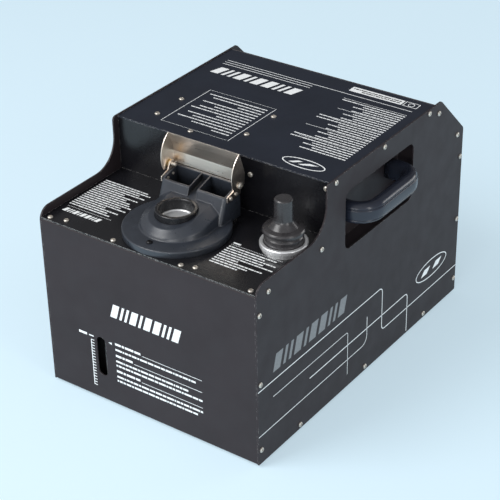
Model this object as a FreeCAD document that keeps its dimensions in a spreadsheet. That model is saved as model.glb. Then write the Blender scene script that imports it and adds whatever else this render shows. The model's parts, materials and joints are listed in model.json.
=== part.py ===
"""Haze machine: sheet-metal casing, outlet head with deflector hood, fluid and air parts.

Casing frame: X across the machine, Y from the front panel back, Z up from the casing's lower edge.
Every sub-part is then moved so that the origin lies under the middle of the casing, at the foot
of the rubber feet.
"""
import FreeCAD, Part
import math
import os

import Sketcher
from FreeCAD import Placement, Rotation, Vector

X_AXIS = Vector(1, 0, 0)
Y_AXIS = Vector(0, 1, 0)
Z_AXIS = Vector(0, 0, 1)

# Driving dimensions, millimetres and degrees: alias, value, what it is.
DIMENSIONS = [
    ("casing_width", 300, "over the side plates"),
    ("casing_depth", 440, "side plates, front to back"),
    ("casing_height", 292.5, "side plates, lower edge to top edge"),
    ("foot_height", 3, "rubber feet below the casing"),
    ("plate_gauge", 2, "side plates"),
    ("sheet_gauge", 1.5, "panels between the side plates"),
    ("flange_depth", 11, "bent side flanges of the panels"),
    ("flange_margin", 16, "flanges end this far from a panel's ends"),
    ("low_edge", 1, "panels above the casing's lower edge"),
    ("deck_edge", 232.5, "side plate edge beside the deck"),
    ("deck_face", 222.3, "upper face of the deck"),
    ("front_top", 220.5, "upper face of the front panel's top bend"),
    ("step_y", 135, "side plate's rise from deck to top"),
    ("riser_y", 143.5, "front face of the riser"),
    ("top_face", 291.2, "upper face of the top cover"),
    ("slope_y", 381.5, "side plate's top edge ends, 45 degree slope begins"),
    ("slope_inset", 8, "control panel below the plates' sloped edge"),
    ("rear_inset", 1.5, "rear panel inside the plates' rear edge"),
    ("nose_round", 15, "side plate corner at the front of the deck"),
    ("step_round", 35, "hollow corner where the side plate rises"),
    ("brow_round", 5, "side plate corner at the front of the top"),
    ("slope_round", 7, "side plate corners of the slope"),
    ("side_screw_inset", 5, "screws from the front and rear edges"),
    ("side_screw_low", 19, "height of the lowest edge screws"),
    ("side_screw_middle", 107, "height of the middle edge screws"),
    ("side_screw_high", 196, "height of the upper edge screws"),
    ("base_screw_rise", 6, "height of the screws into the base"),
    ("base_screw_pitch", 138.5, "between the screws into the base"),
    ("top_screw_drop", 3.3, "screws below the top cover's face"),
    ("top_screw_start", 152, "first screw into the top cover, from the front"),
    ("top_screw_pitch", 100.5, "between the screws into the top cover"),
    ("deck_screw_drop", 4.6, "screws below the deck's face"),
    ("deck_screw_front", 22, "front screw into the deck's flange"),
    ("deck_screw_rear", 124, "rear screw into the deck's flange"),
    ("slope_screw_drop", 5.5, "screws below the control panel's face"),
    ("slope_screw_upper", 12, "upper screw from the control panel's top"),
    ("slope_screw_lower", 81, "lower screw from the control panel's top"),
    ("screw_shank", 2.9, "M3 screw, shank diameter"),
    ("screw_hole", 3, "M3 screw, hole diameter"),
    ("screw_head", 6.4, "pan head diameter"),
    ("screw_head_height", 2, "pan head height"),
    ("screw_length", 6, "under the head"),
    ("hand_front", 172, "hand opening, front end"),
    ("hand_rear", 319, "hand opening, rear end"),
    ("hand_low", 191, "hand opening, lower edge"),
    ("hand_high", 266, "hand opening, upper edge"),
    ("hand_round", 10, "hand opening, corner radius"),
    ("tray_margin", 6, "recess tray beyond the hand opening"),
    ("tray_depth", 21.5, "recess behind the side plate"),
    ("tray_lip", 6, "lip of the recess tray"),
    ("grip_reach", 26, "grip stands proud of the side plate"),
    ("grip_length", 130, "over the grip's legs"),
    ("grip_thickness", 15.5, "grip, across"),
    ("grip_height", 26, "grip, upright"),
    ("grip_middle_z", 233, "grip, height of its middle"),
    ("grip_bend", 33, "grip, outer corner radius"),
    ("grip_edge", 6.5, "grip, rounding of its long edges"),
    ("bolt_shank", 4.9, "handle bolt shank"),
    ("bolt_hole", 5, "handle bolt hole"),
    ("outlet_x", -2, "outlet head, middle"),
    ("outlet_y", 63.5, "outlet head, nozzle axis"),
    ("disc_radius", 62, "outlet head flange"),
    ("disc_top", 230.5, "upper face of the outlet flange"),
    ("dome_foot", 42.5, "half width of the dome at the flange"),
    ("dome_shoulder", 40.5, "half width of the dome at its shoulder"),
    ("dome_crown", 28, "half width of the dome at its crown"),
    ("dome_crown_shift", 6, "crown's arc centre, forward of the nozzle"),
    ("dome_shoulder_z", 239.5, "shoulder height at the nozzle axis"),
    ("dome_crown_z", 246.6, "crown height at the nozzle axis"),
    ("dome_tilt", 9, "shoulder and crown rise to the rear"),
    ("dome_round", 3.5, "rounding of the dome's shoulder and crown"),
    ("foot_round", 1.5, "hollow rounding where the dome meets the flange"),
    ("nozzle_bore", 22, "bore of the outlet head, radius"),
    ("ring_radius", 24.2, "nozzle ring over its lip"),
    ("ring_bore", 19.6, "nozzle ring, inner radius"),
    ("ring_top", 251, "nozzle ring, rim height"),
    ("ring_seat", 241, "nozzle ring rests in the outlet head at this height"),
    ("plate_z", 237, "nozzle plate below the rim, height"),
    ("tower_half", 45, "half width of the duct tower"),
    ("tower_foot_y", 81.5, "front of the tower at the flange"),
    ("tower_front_y", 94.5, "front of the tower's rim"),
    ("tower_rear_y", 122, "back of the tower"),
    ("tower_front_z", 260.2, "front of the tower's rim"),
    ("tower_rear_z", 268, "back of the tower's rim"),
    ("duct_outer_x", 41.6, "ducts, outer wall"),
    ("duct_inner_x", 7, "ducts, inner wall"),
    ("duct_front_y", 97, "ducts, front wall"),
    ("duct_rear_y", 119.5, "ducts, rear wall"),
    ("channel_half", 5.4, "half width of the channel between the ducts"),
    ("channel_depth", 8.5, "channel below the rim"),
    ("channel_run", 5, "channel runs out this far in front of the rim"),
    ("pivot_y", 115, "hood pivot"),
    ("pivot_z", 270.2, "hood pivot"),
    ("hood_half", 49.5, "half width of the hood"),
    ("hood_gauge", 1, "hood sheet"),
    ("hood_top_y", 115.4, "hood, upper edge"),
    ("hood_top_z", 308.3, "hood, upper edge"),
    ("hood_bend_y", 124.2, "hood, bend line"),
    ("hood_bend_z", 282.4, "hood, bend line"),
    ("hood_low_y", 123.2, "hood, lower edge of the rear leaf"),
    ("hood_low_z", 268, "hood, lower edge of the rear leaf"),
    ("pivot_shank", 3.9, "pivot screw shank"),
    ("pivot_hole", 4.05, "hole that turns on the pivot screw"),
    ("bracket_gauge", 1.5, "hood brackets"),
    ("neck_x", 118.5, "filler axis"),
    ("neck_y", 97.5, "filler axis"),
    ("neck_radius", 24.5, "filler tube, outer"),
    ("neck_bore", 22.5, "filler tube, inner"),
    ("neck_top", 232.6, "filler rim"),
    ("collar_radius", 27.1, "filler collar"),
    ("collar_height", 5.6, "filler collar"),
    ("bung_body", 22.1, "rubber bung in the tube, radius"),
    ("bung_flange", 23.9, "rubber bung, flange radius"),
    ("bung_stem", 10.4, "rubber bung, stem radius"),
    ("bung_low", 214, "rubber bung, lower end"),
    ("bung_flange_z", 246.5, "rubber bung, middle of the flange"),
    ("bung_top", 285, "rubber bung, top of the stem"),
    ("level_x", -71, "level slot, middle"),
    ("level_low", 34.6, "level slot, lower end"),
    ("level_high", 88, "level slot, upper end"),
    ("level_width", 14, "level slot width"),
    ("level_tube_y", 12, "level tube axis behind the front panel"),
    ("tank_left", -128, "fluid tank"),
    ("tank_right", 143, "fluid tank"),
    ("tank_front", 22, "fluid tank"),
    ("tank_rear", 50, "fluid tank, back of the front arm"),
    ("tank_arm_left", 88, "fluid tank, side arm"),
    ("tank_arm_rear", 126, "fluid tank, side arm"),
    ("tank_top", 206, "fluid tank"),
    ("tank_wall", 3, "fluid tank"),
    ("heater_y", 92, "heater axis"),
    ("heater_radius", 27, "heater block"),
    ("heater_low", 30, "heater block, lower end"),
    ("heater_high", 150, "heater block, upper end"),
    ("jacket_radius", 36, "heater jacket"),
    ("air_duct_floor", 184, "air duct below the tower"),
    ("air_duct_roof", 214, "air duct below the tower"),
    ("air_duct_end", 165, "air duct meets the blower"),
    ("blower_half", 41, "half width of the blower"),
    ("blower_radius", 40, "blower scroll, outer"),
    ("blower_y", 208, "blower axis"),
    ("rotor_radius", 33, "blower rotor"),
    ("rotor_half", 34, "half width of the blower rotor"),
    ("board_z", 276, "control board, underside"),
    ("board_gauge", 1.6, "control board"),
    ("button_radius", 4.5, "menu buttons"),
    ("button_hole", 4.8, "holes for the menu buttons, radius"),
    ("button_pitch", 15, "between the menu buttons"),
    ("button_along", 66, "menu buttons from the control panel's top"),
    ("display_along", 36, "display middle from the control panel's top"),
    ("display_width", 43, "display window"),
    ("display_height", 17, "display window"),
    ("inlet_x", -105, "mains inlet, middle"),
    ("inlet_drop", 176, "mains inlet below the rear panel's top"),
    ("switch_x", -62, "mains switch, middle"),
    ("fuse_x", -31, "fuse holder, middle"),
    ("socket_x", 60, "first data socket, middle"),
    ("socket_pitch", 44, "between the data sockets"),
    ("socket_radius", 12, "data socket body"),
    ("fitting_shank", 2.4, "screws of the rear fittings, shank"),
    ("fitting_hole", 2.5, "screws of the rear fittings, hole"),
]

# Screws through the deck, the top cover and the riser, in millimetres from the panel's middle
# line and from its front or lower edge.
DECK_SCREWS = [(-139, 5.5), (-47, 5.5), (47, 5.5), (139, 5.5), (-119, 10), (63, 10)]
TOP_SCREWS = [(-112, 76), (-112, 29.5), (-52, 14.5), (6.5, 43.5), (6.5, 97.5)]
RISER_SCREWS = [(42, 47.2), (143, 59.7)]
FOOT_PLACES = [(-122, 38), (122, 38), (-122, 402), (122, 402)]
INLET_FLANGE = 2.4  # mains inlet flange, thickness
SOCKET_PLATE = 2  # data socket plate, thickness
ROCKER_PIVOT = -1  # mains switch pivot, below the rear panel's face
BUTTON_NAMES = ["button_menu", "button_down", "button_up", "button_enter"]

doc = FreeCAD.newDocument("haze_machine")
size = doc.addObject("Spreadsheet::Sheet", "Size")
sub_parts = []


def fill_sheet():
    """Write the driving dimensions into the spreadsheet, one row each."""
    for row, (alias, value, note) in enumerate(DIMENSIONS, start=1):
        size.set(f"A{row}", note)
        size.set(f"B{row}", str(value))
        size.setAlias(f"B{row}", alias)
    doc.recompute()


def number(expression):
    """Value of an expression of the sheet, or of a plain number."""
    return float(size.evalExpression(str(expression)))


# ---------------------------------------------------------------- helpers for PartDesign bodies


def new_body(label):
    """A PartDesign body that is a sub-part of its own."""
    body = doc.addObject("PartDesign::Body", label)
    body.Label = label
    sub_parts.append(body)
    return body


def seat(part, x="0", y="0", z="0", axis=X_AXIS, angle=0):
    """Put a sub-part at a place of the casing frame, turned about one axis."""
    part.Placement = Placement(Vector(), Rotation(axis, angle))
    part.setExpression("Placement.Base.x", str(x))
    part.setExpression("Placement.Base.y", f"{y} - Size.casing_depth / 2")
    part.setExpression("Placement.Base.z", f"{z} + Size.foot_height")


def new_sketch(body, role, offset="0", tilt=0):
    """A sketch on one of the body's own origin planes, moved along its normal and tilted."""
    plane = [feature for feature in body.Origin.OriginFeatures if feature.Role == role][0]
    sketch = body.newObject("Sketcher::SketchObject", f"{body.Name}_sketch")
    sketch.AttachmentSupport = [(plane, "")]
    sketch.MapMode = "FlatFace"
    sketch.AttachmentOffset = Placement(Vector(), Rotation(X_AXIS, tilt))
    sketch.setExpression("AttachmentOffset.Base.z", str(offset))
    return sketch


def hold(sketch, kind, places, expression):
    """Add a sketch dimension and bind it to an expression."""
    index = sketch.addConstraint(Sketcher.Constraint(kind, *places, number(expression)))
    sketch.setExpression(f"Constraints[{index}]", str(expression))


def hold_point(sketch, geometry, vertex, x, y):
    """Hold one point of a sketch at a place given by two expressions."""
    hold(sketch, "DistanceX", (-1, 1, geometry, vertex), x)
    hold(sketch, "DistanceY", (-1, 1, geometry, vertex), y)


def draw_polygon(sketch, corners):
    """A closed polygon whose corners are pairs of expressions."""
    points = [Vector(number(x), number(y), 0) for x, y in corners]
    start = sketch.GeometryCount
    count = len(points)
    for i in range(count):
        sketch.addGeometry(Part.LineSegment(points[i], points[(i + 1) % count]), False)
    for i in range(count):
        joint = (start + i, 2, start + (i + 1) % count, 1)
        sketch.addConstraint(Sketcher.Constraint("Coincident", *joint))
    for i, (x, y) in enumerate(corners):
        hold_point(sketch, start + i, 1, x, y)


def draw_box(sketch, x_low, x_high, y_low, y_high):
    """An upright rectangle given by four expressions."""
    draw_polygon(sketch, [(x_low, y_low), (x_high, y_low), (x_high, y_high), (x_low, y_high)])


def draw_circle(sketch, x, y, radius):
    """A circle held at a place given by expressions."""
    circle = Part.Circle(Vector(number(x), number(y), 0), Z_AXIS, number(radius))
    index = sketch.addGeometry(circle, False)
    hold_point(sketch, index, 3, x, y)
    hold(sketch, "Radius", (index,), radius)


def draw_horseshoe(sketch, middle_x, arc_y, half_width, rear_y):
    """Half a circle in front, straight sides and a straight back."""
    x, y, radius, rear = [number(value) for value in (middle_x, arc_y, half_width, rear_y)]
    circle = Part.Circle(Vector(x, y, 0), Z_AXIS, radius)
    arc = sketch.addGeometry(Part.ArcOfCircle(circle, math.pi, 2 * math.pi), False)
    corners = [(x + radius, y), (x + radius, rear), (x - radius, rear), (x - radius, y)]
    points = [Vector(px, py, 0) for px, py in corners]
    for first, second in zip(points, points[1:]):
        sketch.addGeometry(Part.LineSegment(first, second), False)
    for joint in ((arc, 2, arc + 1, 1), (arc + 1, 2, arc + 2, 1), (arc + 2, 2, arc + 3, 1),
                  (arc + 3, 2, arc, 1)):
        sketch.addConstraint(Sketcher.Constraint("Coincident", *joint))
    hold_point(sketch, arc, 3, middle_x, arc_y)
    hold_point(sketch, arc + 1, 1, f"{middle_x} + {half_width}", arc_y)
    hold_point(sketch, arc + 2, 1, f"{middle_x} + {half_width}", rear_y)
    hold_point(sketch, arc + 3, 1, f"{middle_x} - ({half_width})", rear_y)
    sketch.addConstraint(Sketcher.Constraint("Horizontal", arc, 1, arc, 3))


def pad(body, sketch, length, downward=False, both_ways=False):
    """Raise a sketch into a solid of the body."""
    feature = body.newObject("PartDesign::Pad", f"{body.Name}_pad")
    feature.Profile = sketch
    feature.setExpression("Length", str(length))
    feature.Reversed = downward
    feature.SideType = "Symmetric" if both_ways else "One side"
    sketch.Visibility = False
    return feature


def pocket(body, sketch, length=None, upward=False, both_ways=False):
    """Cut a sketch out of the body, to a length or right through; it must take metal away."""
    doc.recompute()
    before = body.Shape.Volume
    feature = body.newObject("PartDesign::Pocket", f"{body.Name}_pocket")
    feature.Profile = sketch
    if length is None:
        feature.Type = "ThroughAll"
    else:
        feature.setExpression("Length", str(length))
    feature.Reversed = upward
    feature.SideType = "Symmetric" if both_ways else "One side"
    doc.recompute()
    if not body.Shape.Volume < before - 1e-6:
        raise RuntimeError(f"{body.Label}: a pocket cuts nothing")
    return feature


def edge_names(shape, wanted):
    """Names of the edges of a shape that pass a test."""
    return [f"Edge{i}" for i, edge in enumerate(shape.Edges, start=1) if wanted(edge)]


def round_edges(body, radius, wanted):
    """Round every edge of the body that passes the test."""
    doc.recompute()
    base = body.Tip
    names = edge_names(base.Shape, wanted)
    if not names:
        raise RuntimeError(f"{body.Label}: no edge to round")
    feature = body.newObject("PartDesign::Fillet", f"{body.Name}_round")
    feature.Base = (base, names)
    feature.setExpression("Radius", str(radius))
    doc.recompute()
    return feature


def along_x(*places):
    """Test for edges that run along X through one of the (y, z) places."""
    return line_test(0, [(number(y), number(z)) for y, z in places])


def along_z(*places):
    """Test for edges that run along Z through one of the (x, y) places."""
    return line_test(2, [(number(x), number(y)) for x, y in places])


def line_test(axis, places):
    """Test for straight edges along an axis whose two other coordinates match a place."""
    others = [i for i in range(3) if i != axis]

    def wanted(edge):
        if len(edge.Vertexes) != 2:
            return False
        first, second = [vertex.Point for vertex in edge.Vertexes]
        span = second - first
        if any(abs(span[i]) > 0.01 for i in others):
            return False
        return any(
            all(abs(first[i] - place[k]) < 0.05 for k, i in enumerate(others)) for place in places
        )

    return wanted


# ---------------------------------------------------------------- helpers for plain Part shapes


def new_shape(label, shape):
    """A sub-part whose shape is made by Part functions, in the casing frame."""
    feature = doc.addObject("Part::Feature", label)
    feature.Label = label
    feature.Shape = shape
    seat(feature)
    sub_parts.append(feature)
    return feature


def cylinder(radius, start, axis, length):
    """A cylinder from a start point along an axis."""
    return Part.makeCylinder(radius, length, start, axis)


def block(x_low, x_high, y_low, y_high, z_low, z_high):
    """A box between two corners."""
    corner = Vector(x_low, y_low, z_low)
    return Part.makeBox(x_high - x_low, y_high - y_low, z_high - z_low, corner)


def turned(outline, start, axis=Z_AXIS):
    """A solid of revolution: outline is a list of (radius, height) about the axis at start."""
    place = Placement(start, Rotation(Z_AXIS, axis))
    points = [place.multVec(Vector(radius, 0, height)) for radius, height in outline]
    face = Part.Face(Part.makePolygon(points + points[:1]))
    return face.revolve(start, axis, 360)


def pan_screw(place, outward, head, head_height, shank, length):
    """A pan-head screw: dome-edged head on the outward side, shank the other way."""
    outline = [
        (0, -length),
        (shank / 2, -length),
        (shank / 2, 0),
        (head / 2, 0),
        (head / 2, head_height * 0.45),
        (head * 0.36, head_height * 0.88),
        (head * 0.2, head_height),
        (0, head_height),
    ]
    screw = turned(outline, place, outward)
    reach, slot, floor = head * 0.27, head * 0.075, head_height * 0.4
    cross = block(-reach, reach, -slot, slot, floor, head_height + 1)
    cross = cross.fuse(block(-slot, slot, -reach, reach, floor, head_height + 1))
    cross.Placement = Placement(place, Rotation(Z_AXIS, outward))
    return screw.cut(cross)


def casing_screw(place, outward):
    """The M3 pan-head screw that holds the casing together."""
    return pan_screw(
        place,
        outward,
        number("Size.screw_head"),
        number("Size.screw_head_height"),
        number("Size.screw_shank"),
        number("Size.screw_length"),
    )


def bent_tube(corners, bend, outer, inner=0.0):
    """A tube along straight runs joined by tangent arcs of one bend radius."""
    edges = []
    start = corners[0]
    for before, corner, after in zip(corners, corners[1:], corners[2:]):
        into = (corner - before).normalize()
        out = (after - corner).normalize()
        half_turn = into.getAngle(out) / 2
        reach = bend * math.tan(half_turn)
        arc_start = corner - into * reach
        arc_end = corner + out * reach
        inward = (out - into).normalize()
        middle = corner + inward * (bend / math.cos(half_turn) - bend)
        edges.append(Part.LineSegment(start, arc_start).toShape())
        edges.append(Part.Arc(arc_start, middle, arc_end).toShape())
        start = arc_end
    edges.append(Part.LineSegment(start, corners[-1]).toShape())
    path = Part.Wire(edges)
    direction = corners[1] - corners[0]
    tube = swept_circle(path, corners[0], direction, outer)
    return tube.cut(swept_circle(path, corners[0], direction, inner)) if inner else tube


def swept_circle(path, start, direction, radius):
    """A round bar along a path."""
    ring = Part.Wire([Part.Circle(start, direction, radius).toShape()])
    return path.makePipeShell([ring], True, False)


# ---------------------------------------------------------------- side plates and panels


def panel_frames():
    """Where each panel's own frame stands: y, z of its origin and its turn about X."""
    slope_run = "Size.slope_inset * sqrt(2)"
    slope_line = f"(Size.slope_y + Size.casing_height - {slope_run})"
    rear_face = "(Size.casing_depth - Size.rear_inset)"
    return {
        "front": ("0", "Size.low_edge", 90),
        "deck": ("0.8", "Size.deck_face", 0),
        "riser": ("Size.riser_y", "Size.deck_face", 90),
        "top": ("Size.riser_y - 0.5", "Size.top_face", 0),
        "slope": (f"{slope_line} - Size.top_face", "Size.top_face", -45),
        "rear": (rear_face, f"{slope_line} - {rear_face} - 1.7", -90),
        "base": ("Size.sheet_gauge", "Size.low_edge", 0),
    }


def flange_screws():
    """Screws through the side plates: (distance along, drop below the face) for each panel."""
    high = [f"Size.side_screw_{name} - Size.low_edge" for name in ("low", "middle", "high")]
    rear_top = panel_frames()["rear"][1]
    rear = [f"{rear_top} - Size.side_screw_{name}" for name in ("high", "middle", "low")]
    base_middle = "Size.casing_depth / 2 - Size.sheet_gauge"
    return {
        "front": [(along, "Size.side_screw_inset") for along in high],
        "deck": [
            ("Size.deck_screw_front - 0.8", "Size.deck_screw_drop"),
            ("Size.deck_screw_rear - 0.8", "Size.deck_screw_drop"),
        ],
        "top": [
            (f"Size.top_screw_start - Size.riser_y + 0.5 + {i} * Size.top_screw_pitch",
             "Size.top_screw_drop")
            for i in range(3)
        ],
        "slope": [
            ("Size.slope_screw_upper", "Size.slope_screw_drop"),
            ("Size.slope_screw_lower", "Size.slope_screw_drop"),
        ],
        "rear": [(along, "Size.side_screw_inset - Size.rear_inset") for along in rear],
        "base": [
            (f"{base_middle} + {i} * Size.base_screw_pitch",
             "Size.base_screw_rise - Size.low_edge")
            for i in (-1, 0, 1)
        ],
    }


def side_screw_places():
    """The same screws as (y, z) of the casing frame."""
    places = []
    for name, screws in flange_screws().items():
        y, z, angle = panel_frames()[name]
        turn = Rotation(X_AXIS, angle)
        if name == "base":
            turn = Rotation(Y_AXIS, 180)
        for along, drop in screws:
            offset = turn.multVec(Vector(0, number(along), -number(drop)))
            places.append((number(y) + offset.y, number(z) + offset.z))
    return places


def make_side_plate(label, side):
    """One side plate; side is -1 for the left and 1 for the right."""
    body = new_body(label)
    inner = "Size.casing_width / 2 - Size.plate_gauge" if side > 0 else "-Size.casing_width / 2"
    outline = new_sketch(body, "YZ_Plane", inner)
    slope_end = "Size.slope_y + Size.casing_height - Size.casing_depth"
    draw_polygon(outline, [
        ("0", "0"),
        ("0", "Size.deck_edge"),
        ("Size.step_y", "Size.deck_edge"),
        ("Size.step_y", "Size.casing_height"),
        ("Size.slope_y", "Size.casing_height"),
        ("Size.casing_depth", slope_end),
        ("Size.casing_depth", "0"),
    ])
    pad(body, outline, "Size.plate_gauge")
    round_edges(body, "Size.nose_round", along_x(("0", "Size.deck_edge")))
    round_edges(body, "Size.step_round", along_x(("Size.step_y", "Size.deck_edge")))
    round_edges(body, "Size.brow_round", along_x(("Size.step_y", "Size.casing_height")))
    slope_corners = along_x(("Size.slope_y", "Size.casing_height"), ("Size.casing_depth", slope_end))
    round_edges(body, "Size.slope_round", slope_corners)

    opening = new_sketch(body, "YZ_Plane", inner)
    draw_box(opening, "Size.hand_front", "Size.hand_rear", "Size.hand_low", "Size.hand_high")
    pocket(body, opening, both_ways=True)
    corners = [(f"Size.hand_{y}", f"Size.hand_{z}") for y in ("front", "rear") for z in ("low", "high")]
    round_edges(body, "Size.hand_round", along_x(*corners))

    holes = new_sketch(body, "YZ_Plane", inner)
    for y, z in side_screw_places():
        draw_circle(holes, y, z, "Size.screw_hole / 2")
    pocket(body, holes, both_ways=True)
    seat(body)


def make_panel(label, name, length, openings=None, screws=(), margins=None):
    """A panel between the side plates: a face, two bent side flanges and its holes.

    The panel's own frame has X across, Y along it and Z out of its outer face.
    """
    body = new_body(label)
    half = "(Size.casing_width / 2 - Size.plate_gauge)"
    face = new_sketch(body, "XY_Plane")
    draw_box(face, f"-{half}", half, "0", length)
    pad(body, face, "Size.sheet_gauge", downward=True)

    low_margin, high_margin = margins or ("Size.flange_margin", "Size.flange_margin")
    for low_x, high_x in ((f"-{half}", f"-{half} + Size.sheet_gauge"),
                          (f"{half} - Size.sheet_gauge", half)):
        flange = new_sketch(body, "XY_Plane")
        draw_box(flange, low_x, high_x, low_margin, f"{length} - {high_margin}")
        pad(body, flange, "Size.flange_depth", downward=True)

    flange_holes = flange_screws().get(name)
    if flange_holes:
        sketch = new_sketch(body, "YZ_Plane")
        for along, drop in flange_holes:
            draw_circle(sketch, along, f"-({drop})", "Size.screw_hole / 2")
        pocket(body, sketch, both_ways=True)
    if screws:
        sketch = new_sketch(body, "XY_Plane")
        for x, along in screws:
            draw_circle(sketch, x, along, "Size.screw_hole / 2")
        pocket(body, sketch, both_ways=True)
    if openings:
        openings(body)

    y, z, angle = panel_frames()[name]
    if name == "base":
        seat(body, "0", y, z, Y_AXIS, 180)
    else:
        seat(body, "0", y, z, X_AXIS, angle)
    return body


def open_level_slot(body):
    """The upright slot with round ends in front of the level tube."""
    sketch = new_sketch(body, "XY_Plane")
    radius = "Size.level_width / 2"
    draw_box(sketch, f"Size.level_x - {radius}", f"Size.level_x + {radius}",
             "Size.level_low - Size.low_edge", "Size.level_high - Size.low_edge")
    pocket(body, sketch, both_ways=True)
    left, right = number("Size.level_x - Size.level_width / 2"), number("Size.level_x + Size.level_width / 2")
    low, high = number("Size.level_low - Size.low_edge"), number("Size.level_high - Size.low_edge")
    round_edges(body, f"{radius} - 0.01", along_z((left, low), (left, high), (right, low), (right, high)))


def add_front_bend(body):
    """The front panel's top edge is bent back under the deck, with a rounded outer corner."""
    length = "(Size.front_top - Size.low_edge)"
    half = "(Size.casing_width / 2 - Size.plate_gauge)"
    shelf = new_sketch(body, "XY_Plane")
    draw_box(shelf, f"-{half}", half, f"{length} - Size.sheet_gauge", length)
    pad(body, shelf, "12.8", downward=True)
    round_edges(body, "1.4", edge_on("y", "Size.front_top - Size.low_edge", "z", "0"))
    holes = new_sketch(body, "XZ_Plane", f"-{length}")
    for x, along in DECK_SCREWS:
        draw_circle(holes, x, f"-({along} + 0.8)", "Size.screw_hole / 2")
    pocket(body, holes, "3 * Size.sheet_gauge", both_ways=True)


def edge_on(first, first_place, second, second_place):
    """Test for edges along X that lie on two planes."""
    index = {"x": 0, "y": 1, "z": 2}
    return line_test(0, [
        (number(first_place), number(second_place))
        if index[first] < index[second] else (number(second_place), number(first_place))
    ])


def finish_front_panel(body):
    """Level slot and top bend of the front panel."""
    open_level_slot(body)
    add_front_bend(body)


def open_deck(body):
    """Deck holes for the haze pipe, the two ducts, the filler tube and the outlet screw."""
    sketch = new_sketch(body, "XY_Plane")
    draw_circle(sketch, "Size.outlet_x", "Size.outlet_y - 0.8", "18")
    draw_circle(sketch, "Size.neck_x", "Size.neck_y - 0.8", "Size.neck_radius")
    draw_circle(sketch, "Size.outlet_x", "Size.outlet_y - 0.8 - 49", "Size.screw_hole / 2")
    for side in (-1, 1):
        inner = f"Size.outlet_x + {side} * Size.duct_inner_x"
        outer = f"Size.outlet_x + {side} * Size.duct_outer_x"
        low, high = (outer, inner) if side < 0 else (inner, outer)
        draw_box(sketch, low, high, "Size.duct_front_y - 0.8", "Size.duct_rear_y - 0.8")
    pocket(body, sketch, both_ways=True)


def open_control_panel(body):
    """Window for the display and four round holes for the buttons."""
    sketch = new_sketch(body, "XY_Plane")
    draw_box(sketch, "-Size.display_width / 2", "Size.display_width / 2",
             "Size.display_along - Size.display_height / 2",
             "Size.display_along + Size.display_height / 2")
    for i in range(len(BUTTON_NAMES)):
        draw_circle(sketch, button_x(i), "Size.button_along", "Size.button_hole")
    pocket(body, sketch, both_ways=True)


def button_x(index):
    """Place of a menu button across the control panel."""
    return f"({index} - 1.5) * Size.button_pitch"


def fitting_screw_places():
    """Small screws of the mains inlet and of the data sockets, in the rear panel's frame."""
    inlet = [(f"Size.inlet_x + {side} * 20", "Size.inlet_drop") for side in (-1, 1)]
    sockets = [(f"Size.socket_x + {i} * Size.socket_pitch + {side} * 10",
                f"Size.inlet_drop + {side} * 12.5") for i in range(2) for side in (-1, 1)]
    return inlet + sockets


def open_rear_panel(body):
    """Rear panel holes: inlet, switch, fuse, two sockets and the air intake slots."""
    sketch = new_sketch(body, "XY_Plane")
    draw_box(sketch, "Size.inlet_x - 14", "Size.inlet_x + 14",
             "Size.inlet_drop - 10.5", "Size.inlet_drop + 10.5")
    draw_box(sketch, "Size.switch_x - 6.5", "Size.switch_x + 6.5",
             "Size.inlet_drop - 12", "Size.inlet_drop + 12")
    draw_circle(sketch, "Size.fuse_x", "Size.inlet_drop", "6.5")
    for i in range(2):
        draw_circle(sketch, f"Size.socket_x + {i} * Size.socket_pitch", "Size.inlet_drop",
                    "Size.socket_radius")
    for x, along in fitting_screw_places():
        draw_circle(sketch, x, along, "Size.fitting_hole / 2")
    pocket(body, sketch, both_ways=True)
    slots = new_sketch(body, "XY_Plane")
    for column in (-1, 0, 1):
        for row in range(9):
            middle = f"{column} * 52"
            along = f"(34 + {row} * 10)"
            draw_box(slots, f"{middle} - 21", f"{middle} + 21", f"{along} - 2", f"{along} + 2")
    pocket(body, slots, both_ways=True)


def make_casing():
    """Side plates and the seven panels between them."""
    make_side_plate("side_plate_left", -1)
    make_side_plate("side_plate_right", 1)
    frames = panel_frames()
    rear_top = frames["rear"][1]
    slope_y = frames["slope"][0]
    make_panel("front_panel", "front", "(Size.front_top - Size.low_edge)", finish_front_panel,
               margins=("Size.flange_margin", "Size.flange_margin"))
    make_panel("deck_plate", "deck", "(Size.riser_y + Size.sheet_gauge - 0.8)", open_deck,
               DECK_SCREWS, ("15", "4"))
    make_panel("riser_panel", "riser", "(Size.top_face - Size.sheet_gauge - Size.deck_face)",
               None, RISER_SCREWS, ("3", "14"))
    make_panel("top_cover", "top", f"({slope_y} - 1.7 - Size.riser_y + 0.5)", None, TOP_SCREWS,
               ("3", "14"))
    make_panel("control_panel", "slope", "((Size.casing_depth - Size.rear_inset - "
               f"({slope_y})) * sqrt(2))", open_control_panel, (), ("3", "5"))
    make_panel("rear_panel", "rear", f"({rear_top} - Size.low_edge)", open_rear_panel, (),
               ("10", "14"))
    make_panel("base_plate", "base", "(Size.casing_depth - Size.rear_inset - 2 * Size.sheet_gauge)",
               None, (), ("20", "20"))


def make_rubber_feet():
    """Four round rubber feet under the base plate."""
    top = number("Size.low_edge")
    height = top + number("Size.foot_height")
    feet = []
    for x, y in FOOT_PLACES:
        foot = cylinder(11, Vector(x, y, top - height), Z_AXIS, height)
        lower_rim = [edge for edge in foot.Edges if edge.BoundBox.ZMax < top - height + 0.01]
        feet.append(foot.makeFillet(1.2, lower_rim))
    new_shape("rubber_feet", Part.makeCompound(feet))


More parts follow.
